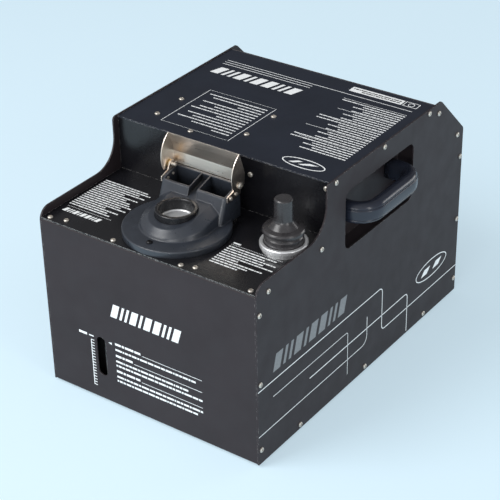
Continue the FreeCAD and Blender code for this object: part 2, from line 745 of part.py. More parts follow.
def make_casing_screws():
    """All the small pan-head screws of the casing."""
    half = number("Size.casing_width / 2")
    sides = [casing_screw(Vector(side * half, y, z), Vector(side, 0, 0))
             for side in (-1, 1) for y, z in side_screw_places()]
    new_shape("side_screws", Part.makeCompound(sides))
    deck_z = number("Size.deck_face")
    covers = [casing_screw(Vector(x, y + 0.8, deck_z), Z_AXIS) for x, y in DECK_SCREWS]
    top_y = number("Size.riser_y - 0.5")
    top_z = number("Size.top_face")
    covers += [casing_screw(Vector(x, top_y + y, top_z), Z_AXIS) for x, y in TOP_SCREWS]
    riser_y = number("Size.riser_y")
    covers += [casing_screw(Vector(x, riser_y, deck_z + z), -Y_AXIS) for x, z in RISER_SCREWS]
    new_shape("cover_screws", Part.makeCompound(covers))


# ---------------------------------------------------------------- handles


def make_handle_tray(label, side):
    """The black recess behind a hand opening: an open tray with a lip against the side plate."""
    body = new_body(label)
    plate = "(Size.casing_width / 2 - Size.plate_gauge)"
    front, rear = "Size.hand_front - Size.tray_margin", "Size.hand_rear + Size.tray_margin"
    low, high = "Size.hand_low - Size.tray_margin", "Size.hand_high + Size.tray_margin"
    back = f"({plate} - Size.tray_depth)"
    wall = "Size.sheet_gauge"

    shell = new_sketch(body, "YZ_Plane", f"{side} * ({back} - {wall})")
    draw_box(shell, front, rear, low, high)
    pad(body, shell, f"Size.tray_depth + {wall}", downward=side < 0)
    lip = new_sketch(body, "YZ_Plane", f"{side} * ({plate} - {wall})")
    draw_box(lip, f"{front} - Size.tray_lip", f"{rear} + Size.tray_lip",
             f"{low} - Size.tray_lip", f"{high} + Size.tray_lip")
    pad(body, lip, wall, downward=side < 0)

    hollow = new_sketch(body, "YZ_Plane", f"{side} * {back}")
    draw_box(hollow, f"{front} + {wall}", f"{rear} - {wall}", f"{low} + {wall}", f"{high} - {wall}")
    pocket(body, hollow, "Size.tray_depth + 1", upward=side > 0)
    corners = [(y, z) for y in (f"{front} + {wall}", f"{rear} - {wall}")
               for z in (f"{low} + {wall}", f"{high} - {wall}")]
    round_edges(body, "8", along_x(*corners))

    holes = new_sketch(body, "YZ_Plane", f"{side} * {back}")
    for y in grip_leg_places():
        draw_circle(holes, y, "Size.grip_middle_z", "Size.bolt_hole / 2")
    pocket(body, holes, "20", both_ways=True)
    seat(body)


def grip_leg_places():
    """Distances from the front of the middles of the grip's two legs."""
    middle = "(Size.hand_front + Size.hand_rear) / 2"
    reach = "(Size.grip_length - Size.grip_thickness) / 2"
    return [f"{middle} - {reach}", f"{middle} + {reach}"]


def make_handle(label, side):
    """A moulded grip, U-shaped in plan, its legs bolted to the back of the recess tray."""
    body = new_body(label)
    root = "(Size.casing_width / 2 - Size.plate_gauge - Size.tray_depth)"
    outer = "(Size.casing_width / 2 + Size.grip_reach)"
    inner = f"({outer} - Size.grip_thickness)"
    middle = "(Size.hand_front + Size.hand_rear) / 2"
    ends = [f"{middle} - Size.grip_length / 2", f"{middle} + Size.grip_length / 2"]
    insides = [f"{ends[0]} + Size.grip_thickness", f"{ends[1]} - Size.grip_thickness"]
    outline = new_sketch(body, "XY_Plane", "Size.grip_middle_z - Size.grip_height / 2")
    draw_polygon(outline, [(f"{side} * {x}", y) for x, y in (
        (root, ends[0]), (outer, ends[0]), (outer, ends[1]), (root, ends[1]),
        (root, insides[1]), (inner, insides[1]), (inner, insides[0]), (root, insides[0]))])
    pad(body, outline, "Size.grip_height")
    round_edges(body, "Size.grip_bend",
                along_z((f"{side} * {outer}", ends[0]), (f"{side} * {outer}", ends[1])))
    round_edges(body, "Size.grip_bend - Size.grip_thickness",
                along_z((f"{side} * {inner}", insides[0]), (f"{side} * {inner}", insides[1])))
    low = number("Size.grip_middle_z - Size.grip_height / 2")
    high = number("Size.grip_middle_z + Size.grip_height / 2")
    root_x = number(f"{side} * {root}")

    def long_edges(edge):
        box = edge.BoundBox
        flat = box.ZLength < 0.01 and (abs(box.ZMin - low) < 0.01 or abs(box.ZMin - high) < 0.01)
        at_root = box.XLength < 0.01 and abs(box.XMin - root_x) < 0.01
        return flat and not at_root

    round_edges(body, "Size.grip_edge", long_edges)
    holes = new_sketch(body, "YZ_Plane", f"{side} * {root}")
    for y in grip_leg_places():
        draw_circle(holes, y, "Size.grip_middle_z", "Size.bolt_hole / 2")
    pocket(body, holes, "24", upward=side > 0)
    seat(body)


def make_handles():
    """Recess trays, grips and the bolts that join them."""
    bolts = []
    tray_back = number("Size.casing_width / 2 - Size.plate_gauge - Size.tray_depth - Size.sheet_gauge")
    for name, side in (("left", -1), ("right", 1)):
        make_handle_tray(f"handle_tray_{name}", side)
        make_handle(f"handle_{name}", side)
        for y in grip_leg_places():
            place = Vector(side * tray_back, number(y), number("Size.grip_middle_z"))
            bolts.append(pan_screw(place, Vector(-side, 0, 0), 9, 3.2, number("Size.bolt_shank"), 22))
    new_shape("handle_bolts", Part.makeCompound(bolts))


# ---------------------------------------------------------------- outlet head and hood


def make_outlet_head():
    """The moulded outlet head: round flange, horseshoe dome and twin-duct tower."""
    body = new_body("outlet_head")
    disc = new_sketch(body, "XY_Plane", "Size.deck_face")
    draw_circle(disc, "Size.outlet_x", "Size.outlet_y", "Size.disc_radius")
    pad(body, disc, "Size.disc_top - Size.deck_face")
    top = number("Size.disc_top")
    round_edges(body, "1.8", lambda edge: edge.Closed and abs(edge.BoundBox.ZMin - top) < 0.01)

    tower = new_sketch(body, "YZ_Plane", "Size.outlet_x")
    draw_polygon(tower, [
        ("Size.tower_foot_y", "Size.disc_top - 3"),
        ("Size.tower_front_y", "Size.tower_front_z"),
        ("Size.tower_rear_y", "Size.tower_rear_z"),
        ("Size.tower_rear_y", "Size.disc_top - 3"),
    ])
    pad(body, tower, "2 * Size.tower_half", both_ways=True)
    front_y = number("Size.tower_front_y")
    front_z = number("Size.tower_front_z")

    def front_corners(edge):
        points = [vertex.Point for vertex in edge.Vertexes]
        if len(points) != 2 or abs(points[0].x - points[1].x) > 0.01:
            return False
        upper = max(points, key=lambda point: point.z)
        lower = min(points, key=lambda point: point.z)
        return abs(upper.y - front_y) < 0.05 and abs(upper.z - front_z) < 0.05 and lower.z < top + 1

    round_edges(body, "5", front_corners)

    tilt = number("Size.dome_tilt")
    rise = math.tan(math.radians(tilt))
    stretch = math.cos(math.radians(tilt))
    loft = body.newObject("PartDesign::AdditiveLoft", "outlet_head_dome")
    foot = new_sketch(body, "XY_Plane", "Size.disc_top - 2")
    draw_horseshoe(foot, "Size.outlet_x", "Size.outlet_y", "Size.dome_foot + 0.2", "96")
    shoulder = new_sketch(body, "XY_Plane", f"Size.dome_shoulder_z - Size.outlet_y * {rise}", tilt)
    draw_horseshoe(shoulder, "Size.outlet_x", f"Size.outlet_y / {stretch}", "Size.dome_shoulder",
                   f"96 / {stretch}")
    crown = new_sketch(body, "XY_Plane", f"Size.dome_crown_z - Size.outlet_y * {rise}", tilt)
    draw_horseshoe(crown, "Size.outlet_x", f"(Size.outlet_y - Size.dome_crown_shift) / {stretch}",
                   "Size.dome_crown", f"96 / {stretch}")
    loft.Profile = foot
    loft.Sections = [shoulder, crown]
    loft.Ruled = True
    body.Tip = loft
    doc.recompute()
    shoulder_z, crown_z = number("Size.dome_shoulder_z"), number("Size.dome_crown_z")
    half_widths = {shoulder_z: number("Size.dome_shoulder"), crown_z: number("Size.dome_crown")}
    middle, axis_y = number("Size.outlet_x"), number("Size.outlet_y")

    def dome_ridges(edge):
        """Edges of the dome that follow its shoulder or its crown."""
        point = edge.valueAt((edge.FirstParameter + edge.LastParameter) / 2)
        if point.y > 94 or edge.Length < 20:
            return False
        for height, half_width in half_widths.items():
            on_plane = abs(point.z - height - rise * (point.y - axis_y)) < 0.2
            if on_plane and (abs(abs(point.x - middle) - half_width) < 0.2 or point.y < axis_y):
                return True
        return False

    round_edges(body, "Size.dome_round", dome_ridges)

    def dome_foot(edge):
        """Edges where the dome and the tower stand on the flange."""
        box = edge.BoundBox
        flat = abs(box.ZMin - top) < 0.01 and abs(box.ZMax - top) < 0.01
        return flat and box.YMax < 102 and edge.Length > 3 and box.YMin > 10 and box.XLength < 90

    round_edges(body, "Size.foot_round", dome_foot)

    bore = new_sketch(body, "XY_Plane", "Size.deck_face")
    draw_circle(bore, "Size.outlet_x", "Size.outlet_y", "Size.nozzle_bore")
    pocket(body, bore, upward=True)
    seat_bore = new_sketch(body, "XY_Plane", "Size.ring_seat")
    draw_circle(seat_bore, "Size.outlet_x", "Size.outlet_y", "Size.ring_radius")
    pocket(body, seat_bore, upward=True)
    ducts = new_sketch(body, "XY_Plane", "Size.deck_face")
    for side in (-1, 1):
        inner = f"Size.outlet_x + {side} * Size.duct_inner_x"
        outer = f"Size.outlet_x + {side} * Size.duct_outer_x"
        low, high = (outer, inner) if side < 0 else (inner, outer)
        draw_box(ducts, low, high, "Size.duct_front_y", "Size.duct_rear_y")
    pocket(body, ducts, upward=True)

    channel = new_sketch(body, "YZ_Plane", "Size.outlet_x")
    slope = "(Size.tower_rear_z - Size.tower_front_z) / (Size.tower_rear_y - Size.tower_front_y)"
    floor = f"Size.tower_front_z - Size.channel_depth"
    draw_polygon(channel, [
        ("Size.tower_front_y - Size.channel_run", f"{floor} - Size.channel_run * {slope}"),
        ("Size.duct_rear_y", f"{floor} + (Size.duct_rear_y - Size.tower_front_y) * {slope}"),
        ("Size.duct_rear_y", "Size.tower_rear_z + 5"),
        ("Size.tower_front_y - Size.channel_run", "Size.tower_rear_z + 5"),
    ])
    pocket(body, channel, "2 * Size.channel_half", both_ways=True)

    screw_hole = new_sketch(body, "XY_Plane", "Size.deck_face")
    draw_circle(screw_hole, "Size.outlet_x", "Size.outlet_y - 49", "Size.screw_hole / 2")
    pocket(body, screw_hole, "20", upward=True)
    for side in (-1, 1):
        wall = f"Size.outlet_x + {side} * (Size.tower_half + 1)"
        bracket_holes = new_sketch(body, "YZ_Plane", wall)
        for y, z in bracket_screw_places():
            draw_circle(bracket_holes, y, z, "Size.screw_hole / 2")
        pocket(body, bracket_holes, "5", upward=side < 0)
    seat(body)


def bracket_screw_places():
    """Screws that hold a hood bracket to the tower's side, as (y, z)."""
    return [("Size.pivot_y - 12.5", "Size.pivot_z - 11.5"), ("Size.pivot_y - 3", "Size.pivot_z - 10")]


def make_outlet_details():
    """Screw, ring and plate of the outlet nozzle."""
    axis = Vector(number("Size.outlet_x"), number("Size.outlet_y"), 0)
    disc_top = number("Size.disc_top")
    screw = pan_screw(axis + Vector(0, -49, disc_top), Z_AXIS, 7, 2.4, 2.9, 14)
    new_shape("outlet_screw", screw)

    bore, lip = number("Size.nozzle_bore"), number("Size.ring_radius")
    inner, top = number("Size.ring_bore"), number("Size.ring_top")
    low, seat_z = number("Size.plate_z") - 3, number("Size.ring_seat")
    ring = turned([
        (inner, low), (bore, low), (bore, seat_z), (lip, seat_z),
        (lip, top - 0.8), (lip - 0.8, top), (inner + 0.9, top), (inner, top - 0.9),
    ], axis)
    new_shape("nozzle_ring", ring)
    plate_z = number("Size.plate_z")
    plate = turned([
        (0, plate_z - 1.5), (inner, plate_z - 1.5), (inner, plate_z + 1.2),
        (inner - 1.2, plate_z + 1.2), (inner - 2.2, plate_z), (6, plate_z + 0.5), (0, plate_z + 0.6),
    ], axis)
    new_shape("nozzle_plate", plate)


def make_hood():
    """The stainless deflector hood: two leaves, two round-fronted cheeks with pivot holes."""
    body = new_body("deflector_hood")
    gauge = "Size.hood_gauge"
    leaves = new_sketch(body, "YZ_Plane", "Size.outlet_x")
    draw_polygon(leaves, [
        ("Size.hood_top_y", "Size.hood_top_z"),
        ("Size.hood_bend_y", "Size.hood_bend_z"),
        ("Size.hood_low_y", "Size.hood_low_z"),
        (f"Size.hood_low_y + {gauge}", "Size.hood_low_z"),
        (f"Size.hood_bend_y + {gauge}", "Size.hood_bend_z"),
        (f"Size.hood_top_y + {gauge}", "Size.hood_top_z"),
    ])
    pad(body, leaves, "2 * Size.hood_half", both_ways=True)

    for side in (-1, 1):
        cheek = new_sketch(body, "YZ_Plane",
                           f"Size.outlet_x + {side} * (Size.hood_half - {gauge})")
        draw_cheek(cheek)
        pad(body, cheek, gauge, downward=side < 0)

    hole = new_sketch(body, "YZ_Plane", "Size.outlet_x")
    draw_circle(hole, "Size.pivot_y", "Size.pivot_z", "Size.pivot_hole / 2")
    pocket(body, hole, both_ways=True)
    seat(body)


def draw_cheek(sketch):
    """Cheek outline: straight edges behind the leaves and one arc in front."""
    gauge = "Size.hood_gauge"
    corners = [
        (f"Size.hood_top_y + {gauge} * 0.5", "Size.hood_top_z"),
        (f"Size.hood_bend_y + {gauge}", "Size.hood_bend_z"),
        (f"Size.hood_low_y + {gauge}", "Size.hood_low_z"),
        ("Size.pivot_y", "Size.pivot_z - 4.2"),
        ("Size.pivot_y - 10", "Size.pivot_z - 5.3"),
    ]
    points = [Vector(number(y), number(z), 0) for y, z in corners]
    for first, second in zip(points, points[1:]):
        sketch.addGeometry(Part.LineSegment(first, second), False)
    last = len(points) - 1
    front = Vector(number("Size.pivot_y - 13.9"), number("Size.pivot_z + 15"), 0)
    arc = Part.Arc(points[last], front, points[0])
    sketch.addGeometry(Part.ArcOfCircle(arc.toShape().Curve, *arc_range(arc)), False)
    for i in range(last - 1):
        sketch.addConstraint(Sketcher.Constraint("Coincident", i, 2, i + 1, 1))
    for i in range(last):
        hold_point(sketch, i, 1, *corners[i])
    hold_point(sketch, last - 1, 2, *corners[last])
    ends = arc_ends(sketch, last, points[last])
    sketch.addConstraint(Sketcher.Constraint("Coincident", last, ends[0], last - 1, 2))
    sketch.addConstraint(Sketcher.Constraint("Coincident", last, ends[1], 0, 1))
    radius = sketch.Geometry[last].Radius
    sketch.addConstraint(Sketcher.Constraint("Radius", last, radius))


def arc_range(arc):
    """First and last parameter of an arc through three points."""
    edge = arc.toShape()
    return edge.FirstParameter, edge.LastParameter


def arc_ends(sketch, index, start):
    """Which end of a sketch arc lies at the start point: (that end, the other)."""
    near_first = (sketch.getPoint(index, 1) - start).Length < 0.01
    return (1, 2) if near_first else (2, 1)


def make_hood_brackets():
    """Brackets on the tower's sides, their screws, and the hood's pivot screws and spacers."""
    middle = number("Size.outlet_x")
    tower = number("Size.tower_half")
    gauge = number("Size.bracket_gauge")
    pivot = Vector(0, number("Size.pivot_y"), number("Size.pivot_z"))
    hood = number("Size.hood_half")
    for name, side in (("left", -1), ("right", 1)):
        make_hood_bracket(f"hood_bracket_{name}", side)
    bracket_screws, pivot_screws, spacers = [], [], []
    for side in (-1, 1):
        outward = Vector(side, 0, 0)
        face = middle + side * (tower + gauge)
        for y, z in bracket_screw_places():
            place = Vector(face, number(y), number(z))
            bracket_screws.append(pan_screw(place, outward, 5, 1.4, 2.9, 6))
        head = pivot + Vector(middle + side * (hood + 0.3), 0, 0)
        pivot_screws.append(pan_screw(head, outward, 7.6, 2.6, number("Size.pivot_shank"), 10.6))
        spacers.append(brass_spacer(pivot + Vector(face, 0, 0), outward))
    new_shape("bracket_screws", Part.makeCompound(bracket_screws))
    new_shape("pivot_screws", Part.makeCompound(pivot_screws))
    new_shape("pivot_spacers", Part.makeCompound(spacers))


def brass_spacer(place, outward):
    """A hexagonal spacer nut between a bracket and a hood cheek."""
    length = number("Size.hood_half - Size.hood_gauge - Size.tower_half - Size.bracket_gauge") - 0.3
    across = 4.6
    corners = [Vector(across * math.cos(math.radians(60 * i)), across * math.sin(math.radians(60 * i)), 0)
               for i in range(6)]
    prism = Part.Face(Part.makePolygon(corners + corners[:1])).extrude(Vector(0, 0, length))
    bored = prism.cut(cylinder(2, Vector(0, 0, -1), Z_AXIS, length + 2))
    bored.Placement = Placement(place, Rotation(Z_AXIS, outward))
    return bored


def make_hood_bracket(label, side):
    """A flat bracket along the tower's rim with an ear round the pivot."""
    body = new_body(label)
    face = f"Size.outlet_x + {side} * Size.tower_half"
    outline = new_sketch(body, "YZ_Plane", face)
    draw_polygon(outline, [
        ("Size.tower_front_y + 1.5", "Size.tower_front_z - 4.5"),
        ("Size.tower_front_y + 1.5", "Size.tower_front_z + 1.4"),
        ("Size.pivot_y - 7", "Size.pivot_z - 5.2"),
        ("Size.pivot_y - 3.2", "Size.pivot_z + 3.6"),
        ("Size.pivot_y + 3.2", "Size.pivot_z + 3.6"),
        ("Size.pivot_y + 5.8", "Size.pivot_z - 2.2"),
        ("Size.pivot_y + 5.8", "Size.pivot_z - 13"),
        ("Size.pivot_y - 12", "Size.pivot_z - 15.5"),
    ])
    pad(body, outline, "Size.bracket_gauge", downward=side < 0)
    holes = new_sketch(body, "YZ_Plane", face)
    draw_circle(holes, "Size.pivot_y", "Size.pivot_z", "2")
    for y, z in bracket_screw_places():
        draw_circle(holes, y, z, "1.5")
    pocket(body, holes, "10", both_ways=True)
    seat(body)


# ---------------------------------------------------------------- fluid


def make_filler():
    """Filler tube with its collar, and the rubber bung."""
    axis = Vector(number("Size.neck_x"), number("Size.neck_y"), 0)
    radius, bore = number("Size.neck_radius"), number("Size.neck_bore")
    collar, top = number("Size.collar_radius"), number("Size.neck_top")
    under = top - number("Size.collar_height")
    low = number("Size.tank_top - Size.tank_wall")
    neck = turned([
        (bore, low), (radius, low), (radius, under), (collar - 0.6, under), (collar, under + 0.6),
        (collar, top - 0.9), (collar - 0.9, top), (bore + 0.6, top), (bore, top - 0.6),
    ], axis)
    new_shape("filler_neck", neck)

    body, flange, stem = [number(f"Size.bung_{name}") for name in ("body", "flange", "stem")]
    low, middle, top = [number(f"Size.bung_{name}") for name in ("low", "flange_z", "top")]
    bung = turned([
        (0, low), (body - 2, low), (body, low + 3), (body, middle - 7), (body - 1.5, middle - 5),
        (flange - 1, middle - 3.6), (flange, middle - 1.5), (flange, middle + 1.2),
        (flange - 1.4, middle + 3.2), (flange - 4.5, middle + 4.2), (17, middle + 4.6),
        (stem + 1.6, middle + 10.5), (stem + 0.4, middle + 13.5), (stem, top - 1.4),
        (stem - 1.4, top), (0, top),
    ], axis)
    new_shape("filler_bung", bung)


def make_level_gauge():
    """Clear level tube behind the front panel's slot, and the two fittings that hold it."""
    x, y = number("Size.level_x"), number("Size.level_tube_y")
    low, high = number("Size.level_low") - 10, number("Size.level_high") + 10
    tube = cylinder(4, Vector(x, y, low), Z_AXIS, high - low)
    new_shape("level_tube", tube.cut(cylinder(3, Vector(x, y, low), Z_AXIS, high - low)))
    tank_front = number("Size.tank_front")
    fittings = []
    for start, end in ((low - 8, low), (high, high + 8)):
        cup = cylinder(6, Vector(x, y, start), Z_AXIS, end - start)
        stub = cylinder(3.5, Vector(x, y, (start + end) / 2), Y_AXIS, tank_front - y)
        fittings.append(cup.fuse(stub).removeSplitter())
    new_shape("level_fittings", Part.makeCompound(fittings))


def make_fluid_tank():
    """Blow-moulded tank: an arm across the front and an arm under the filler, both hollow."""
    body = new_body("fluid_tank")
    floor = "(Size.low_edge + Size.sheet_gauge)"

    def draw_plan(sketch, wall):
        draw_polygon(sketch, [
            (f"Size.tank_left + {wall}", f"Size.tank_front + {wall}"),
            (f"Size.tank_right - {wall}", f"Size.tank_front + {wall}"),
            (f"Size.tank_right - {wall}", f"Size.tank_arm_rear - {wall}"),
            (f"Size.tank_arm_left + {wall}", f"Size.tank_arm_rear - {wall}"),
            (f"Size.tank_arm_left + {wall}", f"Size.tank_rear - {wall}"),
            (f"Size.tank_left + {wall}", f"Size.tank_rear - {wall}"),
        ])

    outside = new_sketch(body, "XY_Plane", floor)
    draw_plan(outside, "0")
    pad(body, outside, f"Size.tank_top - {floor}")
    round_edges(body, "6", lambda edge: edge.BoundBox.ZLength > 100)
    inside = new_sketch(body, "XY_Plane", "Size.tank_top - Size.tank_wall")
    draw_plan(inside, "Size.tank_wall")
    pocket(body, inside, f"Size.tank_top - 2 * Size.tank_wall - {floor}")
    mouth = new_sketch(body, "XY_Plane", "Size.tank_top")
    draw_circle(mouth, "Size.neck_x", "Size.neck_y", "Size.neck_radius")
    pocket(body, mouth, "Size.tank_wall")
    seat(body)


def make_fluid_feed():
    """Dosing pump on the base and the hose from the tank through it to the heater."""
    floor = number("Size.low_edge + Size.sheet_gauge")
    pump_y, pump_z = 175, 34
    motor = cylinder(17, Vector(-118, pump_y, pump_z), X_AXIS, 46)
    head = block(-72, -52, pump_y - 17, pump_y + 17, pump_z - 17, pump_z + 17)
    foot = block(-112, -60, pump_y - 14, pump_y + 14, floor, pump_z - 10)
    pump = motor.fuse([head, foot]).removeSplitter()
    new_shape("fluid_pump", pump)
    tank_rear = number("Size.tank_rear")
    heater_face = number("Size.heater_y") + number("Size.jacket_radius")
    suction = bent_tube([
        Vector(-62, tank_rear, 14), Vector(-62, 96, 14), Vector(-62, 130, 34),
        Vector(-62, pump_y - 17, 34)], 14, 4)
    delivery = bent_tube([
        Vector(-52, pump_y, 34), Vector(-26, pump_y, 34), Vector(0, pump_y - 14, 44),
        Vector(0, heater_face, 44)], 14, 3)
    new_shape("fluid_hose", Part.makeCompound([suction, delivery]))


# ---------------------------------------------------------------- heater, air and electric parts


def make_heater():
    """Heater block, its insulating jacket, the stand, and the pipe up to the nozzle."""
    y = number("Size.heater_y")
    low, high = number("Size.heater_low"), number("Size.heater_high")
    radius, jacket = number("Size.heater_radius"), number("Size.jacket_radius")
    floor = number("Size.low_edge + Size.sheet_gauge")
    core = cylinder(radius, Vector(0, y, low), Z_AXIS, high - low)
    for side in (-1, 1):
        core = core.cut(cylinder(5, Vector(side * 12, y, low - 1), Z_AXIS, high - low - 20))
    new_shape("heater_block", core)

    shell = cylinder(jacket, Vector(0, y, low - 8), Z_AXIS, high - low + 16)
    shell = shell.cut(cylinder(radius, Vector(0, y, low), Z_AXIS, high - low))
    shell = shell.cut(cylinder(6, Vector(0, y - 10, high - 1), Z_AXIS, 20))
    new_shape("heater_jacket", shell)

    plate = block(-34, 34, y - 30, y + 30, floor, floor + 2)
    posts = [cylinder(5, Vector(dx, y + dy, floor), Z_AXIS, low - 8 - floor)
             for dx in (-24, 24) for dy in (-18, 18)]
    new_shape("heater_stand", plate.fuse(posts).removeSplitter())

    nozzle = Vector(number("Size.outlet_x"), number("Size.outlet_y"), 0)
    end_z = number("Size.plate_z") - 1.5
    pipe = bent_tube([
        Vector(0, y - 10, high), Vector(0, y - 10, high + 26),
        nozzle + Vector(0, 0, high + 48), nozzle + Vector(0, 0, end_z)], 16, 6, 4.5)
    new_shape("haze_pipe", pipe)


def make_air_parts():
    """Air duct under the tower, radial blower with its rotor, air pump and hose."""
    body = new_body("air_duct")
    floor, roof = "Size.air_duct_floor", "Size.air_duct_roof"
    deck_under = "(Size.deck_face - Size.sheet_gauge)"
    front, rear = "Size.duct_front_y - 1.5", "Size.duct_rear_y + 1.5"
    outside = new_sketch(body, "YZ_Plane", "Size.outlet_x")
    draw_polygon(outside, [
        (front, deck_under), (front, floor), ("Size.air_duct_end", floor),
        ("Size.air_duct_end", roof), (rear, roof), (rear, deck_under)])
    pad(body, outside, "2 * Size.duct_outer_x + 3", both_ways=True)
    inside = new_sketch(body, "YZ_Plane", "Size.outlet_x")
    draw_polygon(inside, [
        (f"{front} + 1.5", f"{deck_under} + 1"), (f"{front} + 1.5", f"{floor} + 1.5"),
        ("Size.air_duct_end + 1", f"{floor} + 1.5"), ("Size.air_duct_end + 1", f"{roof} - 1.5"),
        (f"{rear} - 1.5", f"{roof} - 1.5"), (f"{rear} - 1.5", f"{deck_under} + 1")])
    pocket(body, inside, "2 * Size.duct_outer_x", both_ways=True)
    seat(body)

    half, radius = number("Size.blower_half"), number("Size.blower_radius")
    end, low, high = [number(f"Size.air_duct_{name}") for name in ("end", "floor", "roof")]
    axis = Vector(0, number("Size.blower_y"), low + radius)
    scroll = cylinder(radius, axis - X_AXIS * half, X_AXIS, 2 * half)
    scroll = scroll.fuse(block(-half, half, end, axis.y, low, high))
    hollow = cylinder(radius - 2, axis - X_AXIS * (half - 2), X_AXIS, 2 * half - 4)
    hollow = hollow.fuse(block(2 - half, half - 2, end - 1, axis.y, low + 2, high - 2))
    inlets = cylinder(26, axis - X_AXIS * (half + 1), X_AXIS, 2 * half + 2)
    spider = cylinder(9, axis - X_AXIS * half, X_AXIS, 20)
    spider = spider.fuse(cylinder(2.95, axis - X_AXIS * half, X_AXIS, half + 20))
    for turn in (90, 210, 330):
        arm = block(-half, -half + 2, axis.y, axis.y + radius - 5, axis.z - 3, axis.z + 3)
        arm.rotate(axis, X_AXIS, turn)
        spider = spider.fuse(arm)
    housing = scroll.cut(hollow).cut(inlets).fuse(spider).removeSplitter()
    new_shape("blower_housing", housing)
    new_shape("blower_rotor", blower_rotor(axis))

    pump = block(62, 128, 190, 280, 12, 60)
    pump = pump.makeFillet(5, pump.Edges)
    heads = [cylinder(14, Vector(95, y, 55), Z_AXIS, 24) for y in (210, 260)]
    feet = [block(66, 124, y - 8, y + 8, number("Size.low_edge + Size.sheet_gauge"), 14)
            for y in (200, 270)]
    new_shape("air_pump", pump.fuse(heads + feet).removeSplitter())
    hose = bent_tube([
        Vector(95, 210, 79), Vector(95, 210, 118), Vector(0, 160, 118),
        Vector(0, number("Size.heater_y + Size.jacket_radius"), 118)], 12, 3)
    new_shape("air_hose", hose)


def blower_rotor(axis):
    """A squirrel-cage rotor: hub, back plate, blades and end rings, turning about X."""
    half, radius = number("Size.rotor_half"), number("Size.rotor_radius")
    hub = cylinder(8, axis - X_AXIS * 18, X_AXIS, 36)
    back = cylinder(radius, axis - X_AXIS * 1.5, X_AXIS, 3)
    rings = [cylinder(radius, axis + X_AXIS * x, X_AXIS, 2)
             .cut(cylinder(radius - 5, axis + X_AXIS * x, X_AXIS, 2)) for x in (-half, half - 2)]
    blades = []
    for i in range(24):
        blade = block(-half, half, axis.y - 0.5, axis.y + 0.5, axis.z + radius - 6, axis.z + radius - 0.5)
        blade.rotate(axis + Z_AXIS * (radius - 3), X_AXIS, 25)
        blade.rotate(axis, X_AXIS, i * 15)
        blades.append(blade)
    rotor = hub.fuse([back] + rings + blades).removeSplitter()
    return rotor.cut(cylinder(3, axis - X_AXIS * 40, X_AXIS, 80))


def make_boards():
    """Control board hung under the top cover on five spacers, and the power supply."""
    low = number("Size.board_z")
    high = low + number("Size.board_gauge")
    top_y = number("Size.riser_y - 0.5")
    board = block(-118, 13, 151, 247, low, high)
    chips = [block(x, x + w, y, y + d, low - t, low)
             for x, y, w, d, t in ((-100, 165, 30, 22, 4), (-60, 195, 16, 16, 3), (-96, 215, 40, 18, 6),
                                   (-30, 170, 14, 40, 5), (-20, 222, 22, 14, 5))]
    new_shape("control_board", board.fuse(chips).removeSplitter())
    under = number("Size.top_face - Size.sheet_gauge")
    spacers = []
    for x, y in TOP_SCREWS:
        place = Vector(x, top_y + y, high)
        post = cylinder(3.2, place, Z_AXIS, under - high)
        spacers.append(post.cut(cylinder(number("Size.screw_hole / 2"), place, Z_AXIS, 20)))
    new_shape("board_spacers", Part.makeCompound(spacers))

    floor = number("Size.low_edge + Size.sheet_gauge")
    supply = block(-138, -48, 250, 400, floor, floor + 42)
    slots = [block(-140, -46, 262 + 10 * i, 266 + 10 * i, floor + 34, floor + 39) for i in range(13)]
    supply = supply.cut(block(-136, -50, 252, 398, floor + 2, floor + 40)).cut(Part.makeCompound(slots))
    new_shape("power_supply", supply)


def make_wiring():
    """Cables: inlet to supply, supply to heater and board, board to blower and display."""
    runs = [
        (3, 8, [(-100, 416.5, 40), (-100, 400, 40)]),
        (3, 12, [(-90, 250, 20), (-90, 212, 20), (0, 212, 80), (0, 128, 80)]),
        (2, 12, [(-110, 250, 35), (-110, 225, 35), (-110, 225, 276)]),
        (2, 12, [(-41, 208, 224), (-70, 208, 224), (-70, 208, 276)]),
        (2, 9, [(-50, 240, 276), (-50, 240, 235.2), (-20, 385, 235.2), (-20, 399, 249.2)]),
    ]
    cables = []
    for radius, bend, corners in runs:
        cables.append(bent_tube([Vector(*corner) for corner in corners], bend, radius))
    new_shape("wiring", Part.makeCompound(cables))


def seat_on_panel(part, name):
    """Give a sub-part drawn in a panel's own frame the panel's place."""
    y, z, angle = panel_frames()[name]
    seat(part, "0", y, z, X_AXIS, angle)


def make_controls():
    """Display and four menu buttons of the sloped control panel, in the panel's own frame."""
    gauge = number("Size.sheet_gauge")
    width, height = number("Size.display_width"), number("Size.display_height")
    along = number("Size.display_along")
    window = block(-width / 2, width / 2, along - height / 2, along + height / 2, -gauge, 0.6)
    rim = [edge for edge in window.Edges if edge.BoundBox.ZMin > 0.5]
    window = window.makeFillet(0.4, rim)
    panel = block(-width / 2 - 5, width / 2 + 5, along - height / 2 - 4, along + height / 2 + 4,
                  -7.8, -gauge)
    board = block(-width / 2 - 12, width / 2 + 12, along - 18, number("Size.button_along") + 10,
                  -9.4, -7.8)
    display = window.fuse([panel, board]).removeSplitter()
    seat_on_panel(new_shape("display_module", display), "slope")

    radius = number("Size.button_radius")
    for i, label in enumerate(BUTTON_NAMES):
        place = Vector(number(button_x(i)), number("Size.button_along"), 0)
        button = turned([
            (0, -6), (radius + 1.2, -6), (radius + 1.2, -4.4), (radius, -4.4), (radius, 2.0),
            (radius - 0.7, 2.6), (radius - 2, 2.5), (0, 2.3),
        ], place)
        seat_on_panel(new_shape(label, button), "slope")


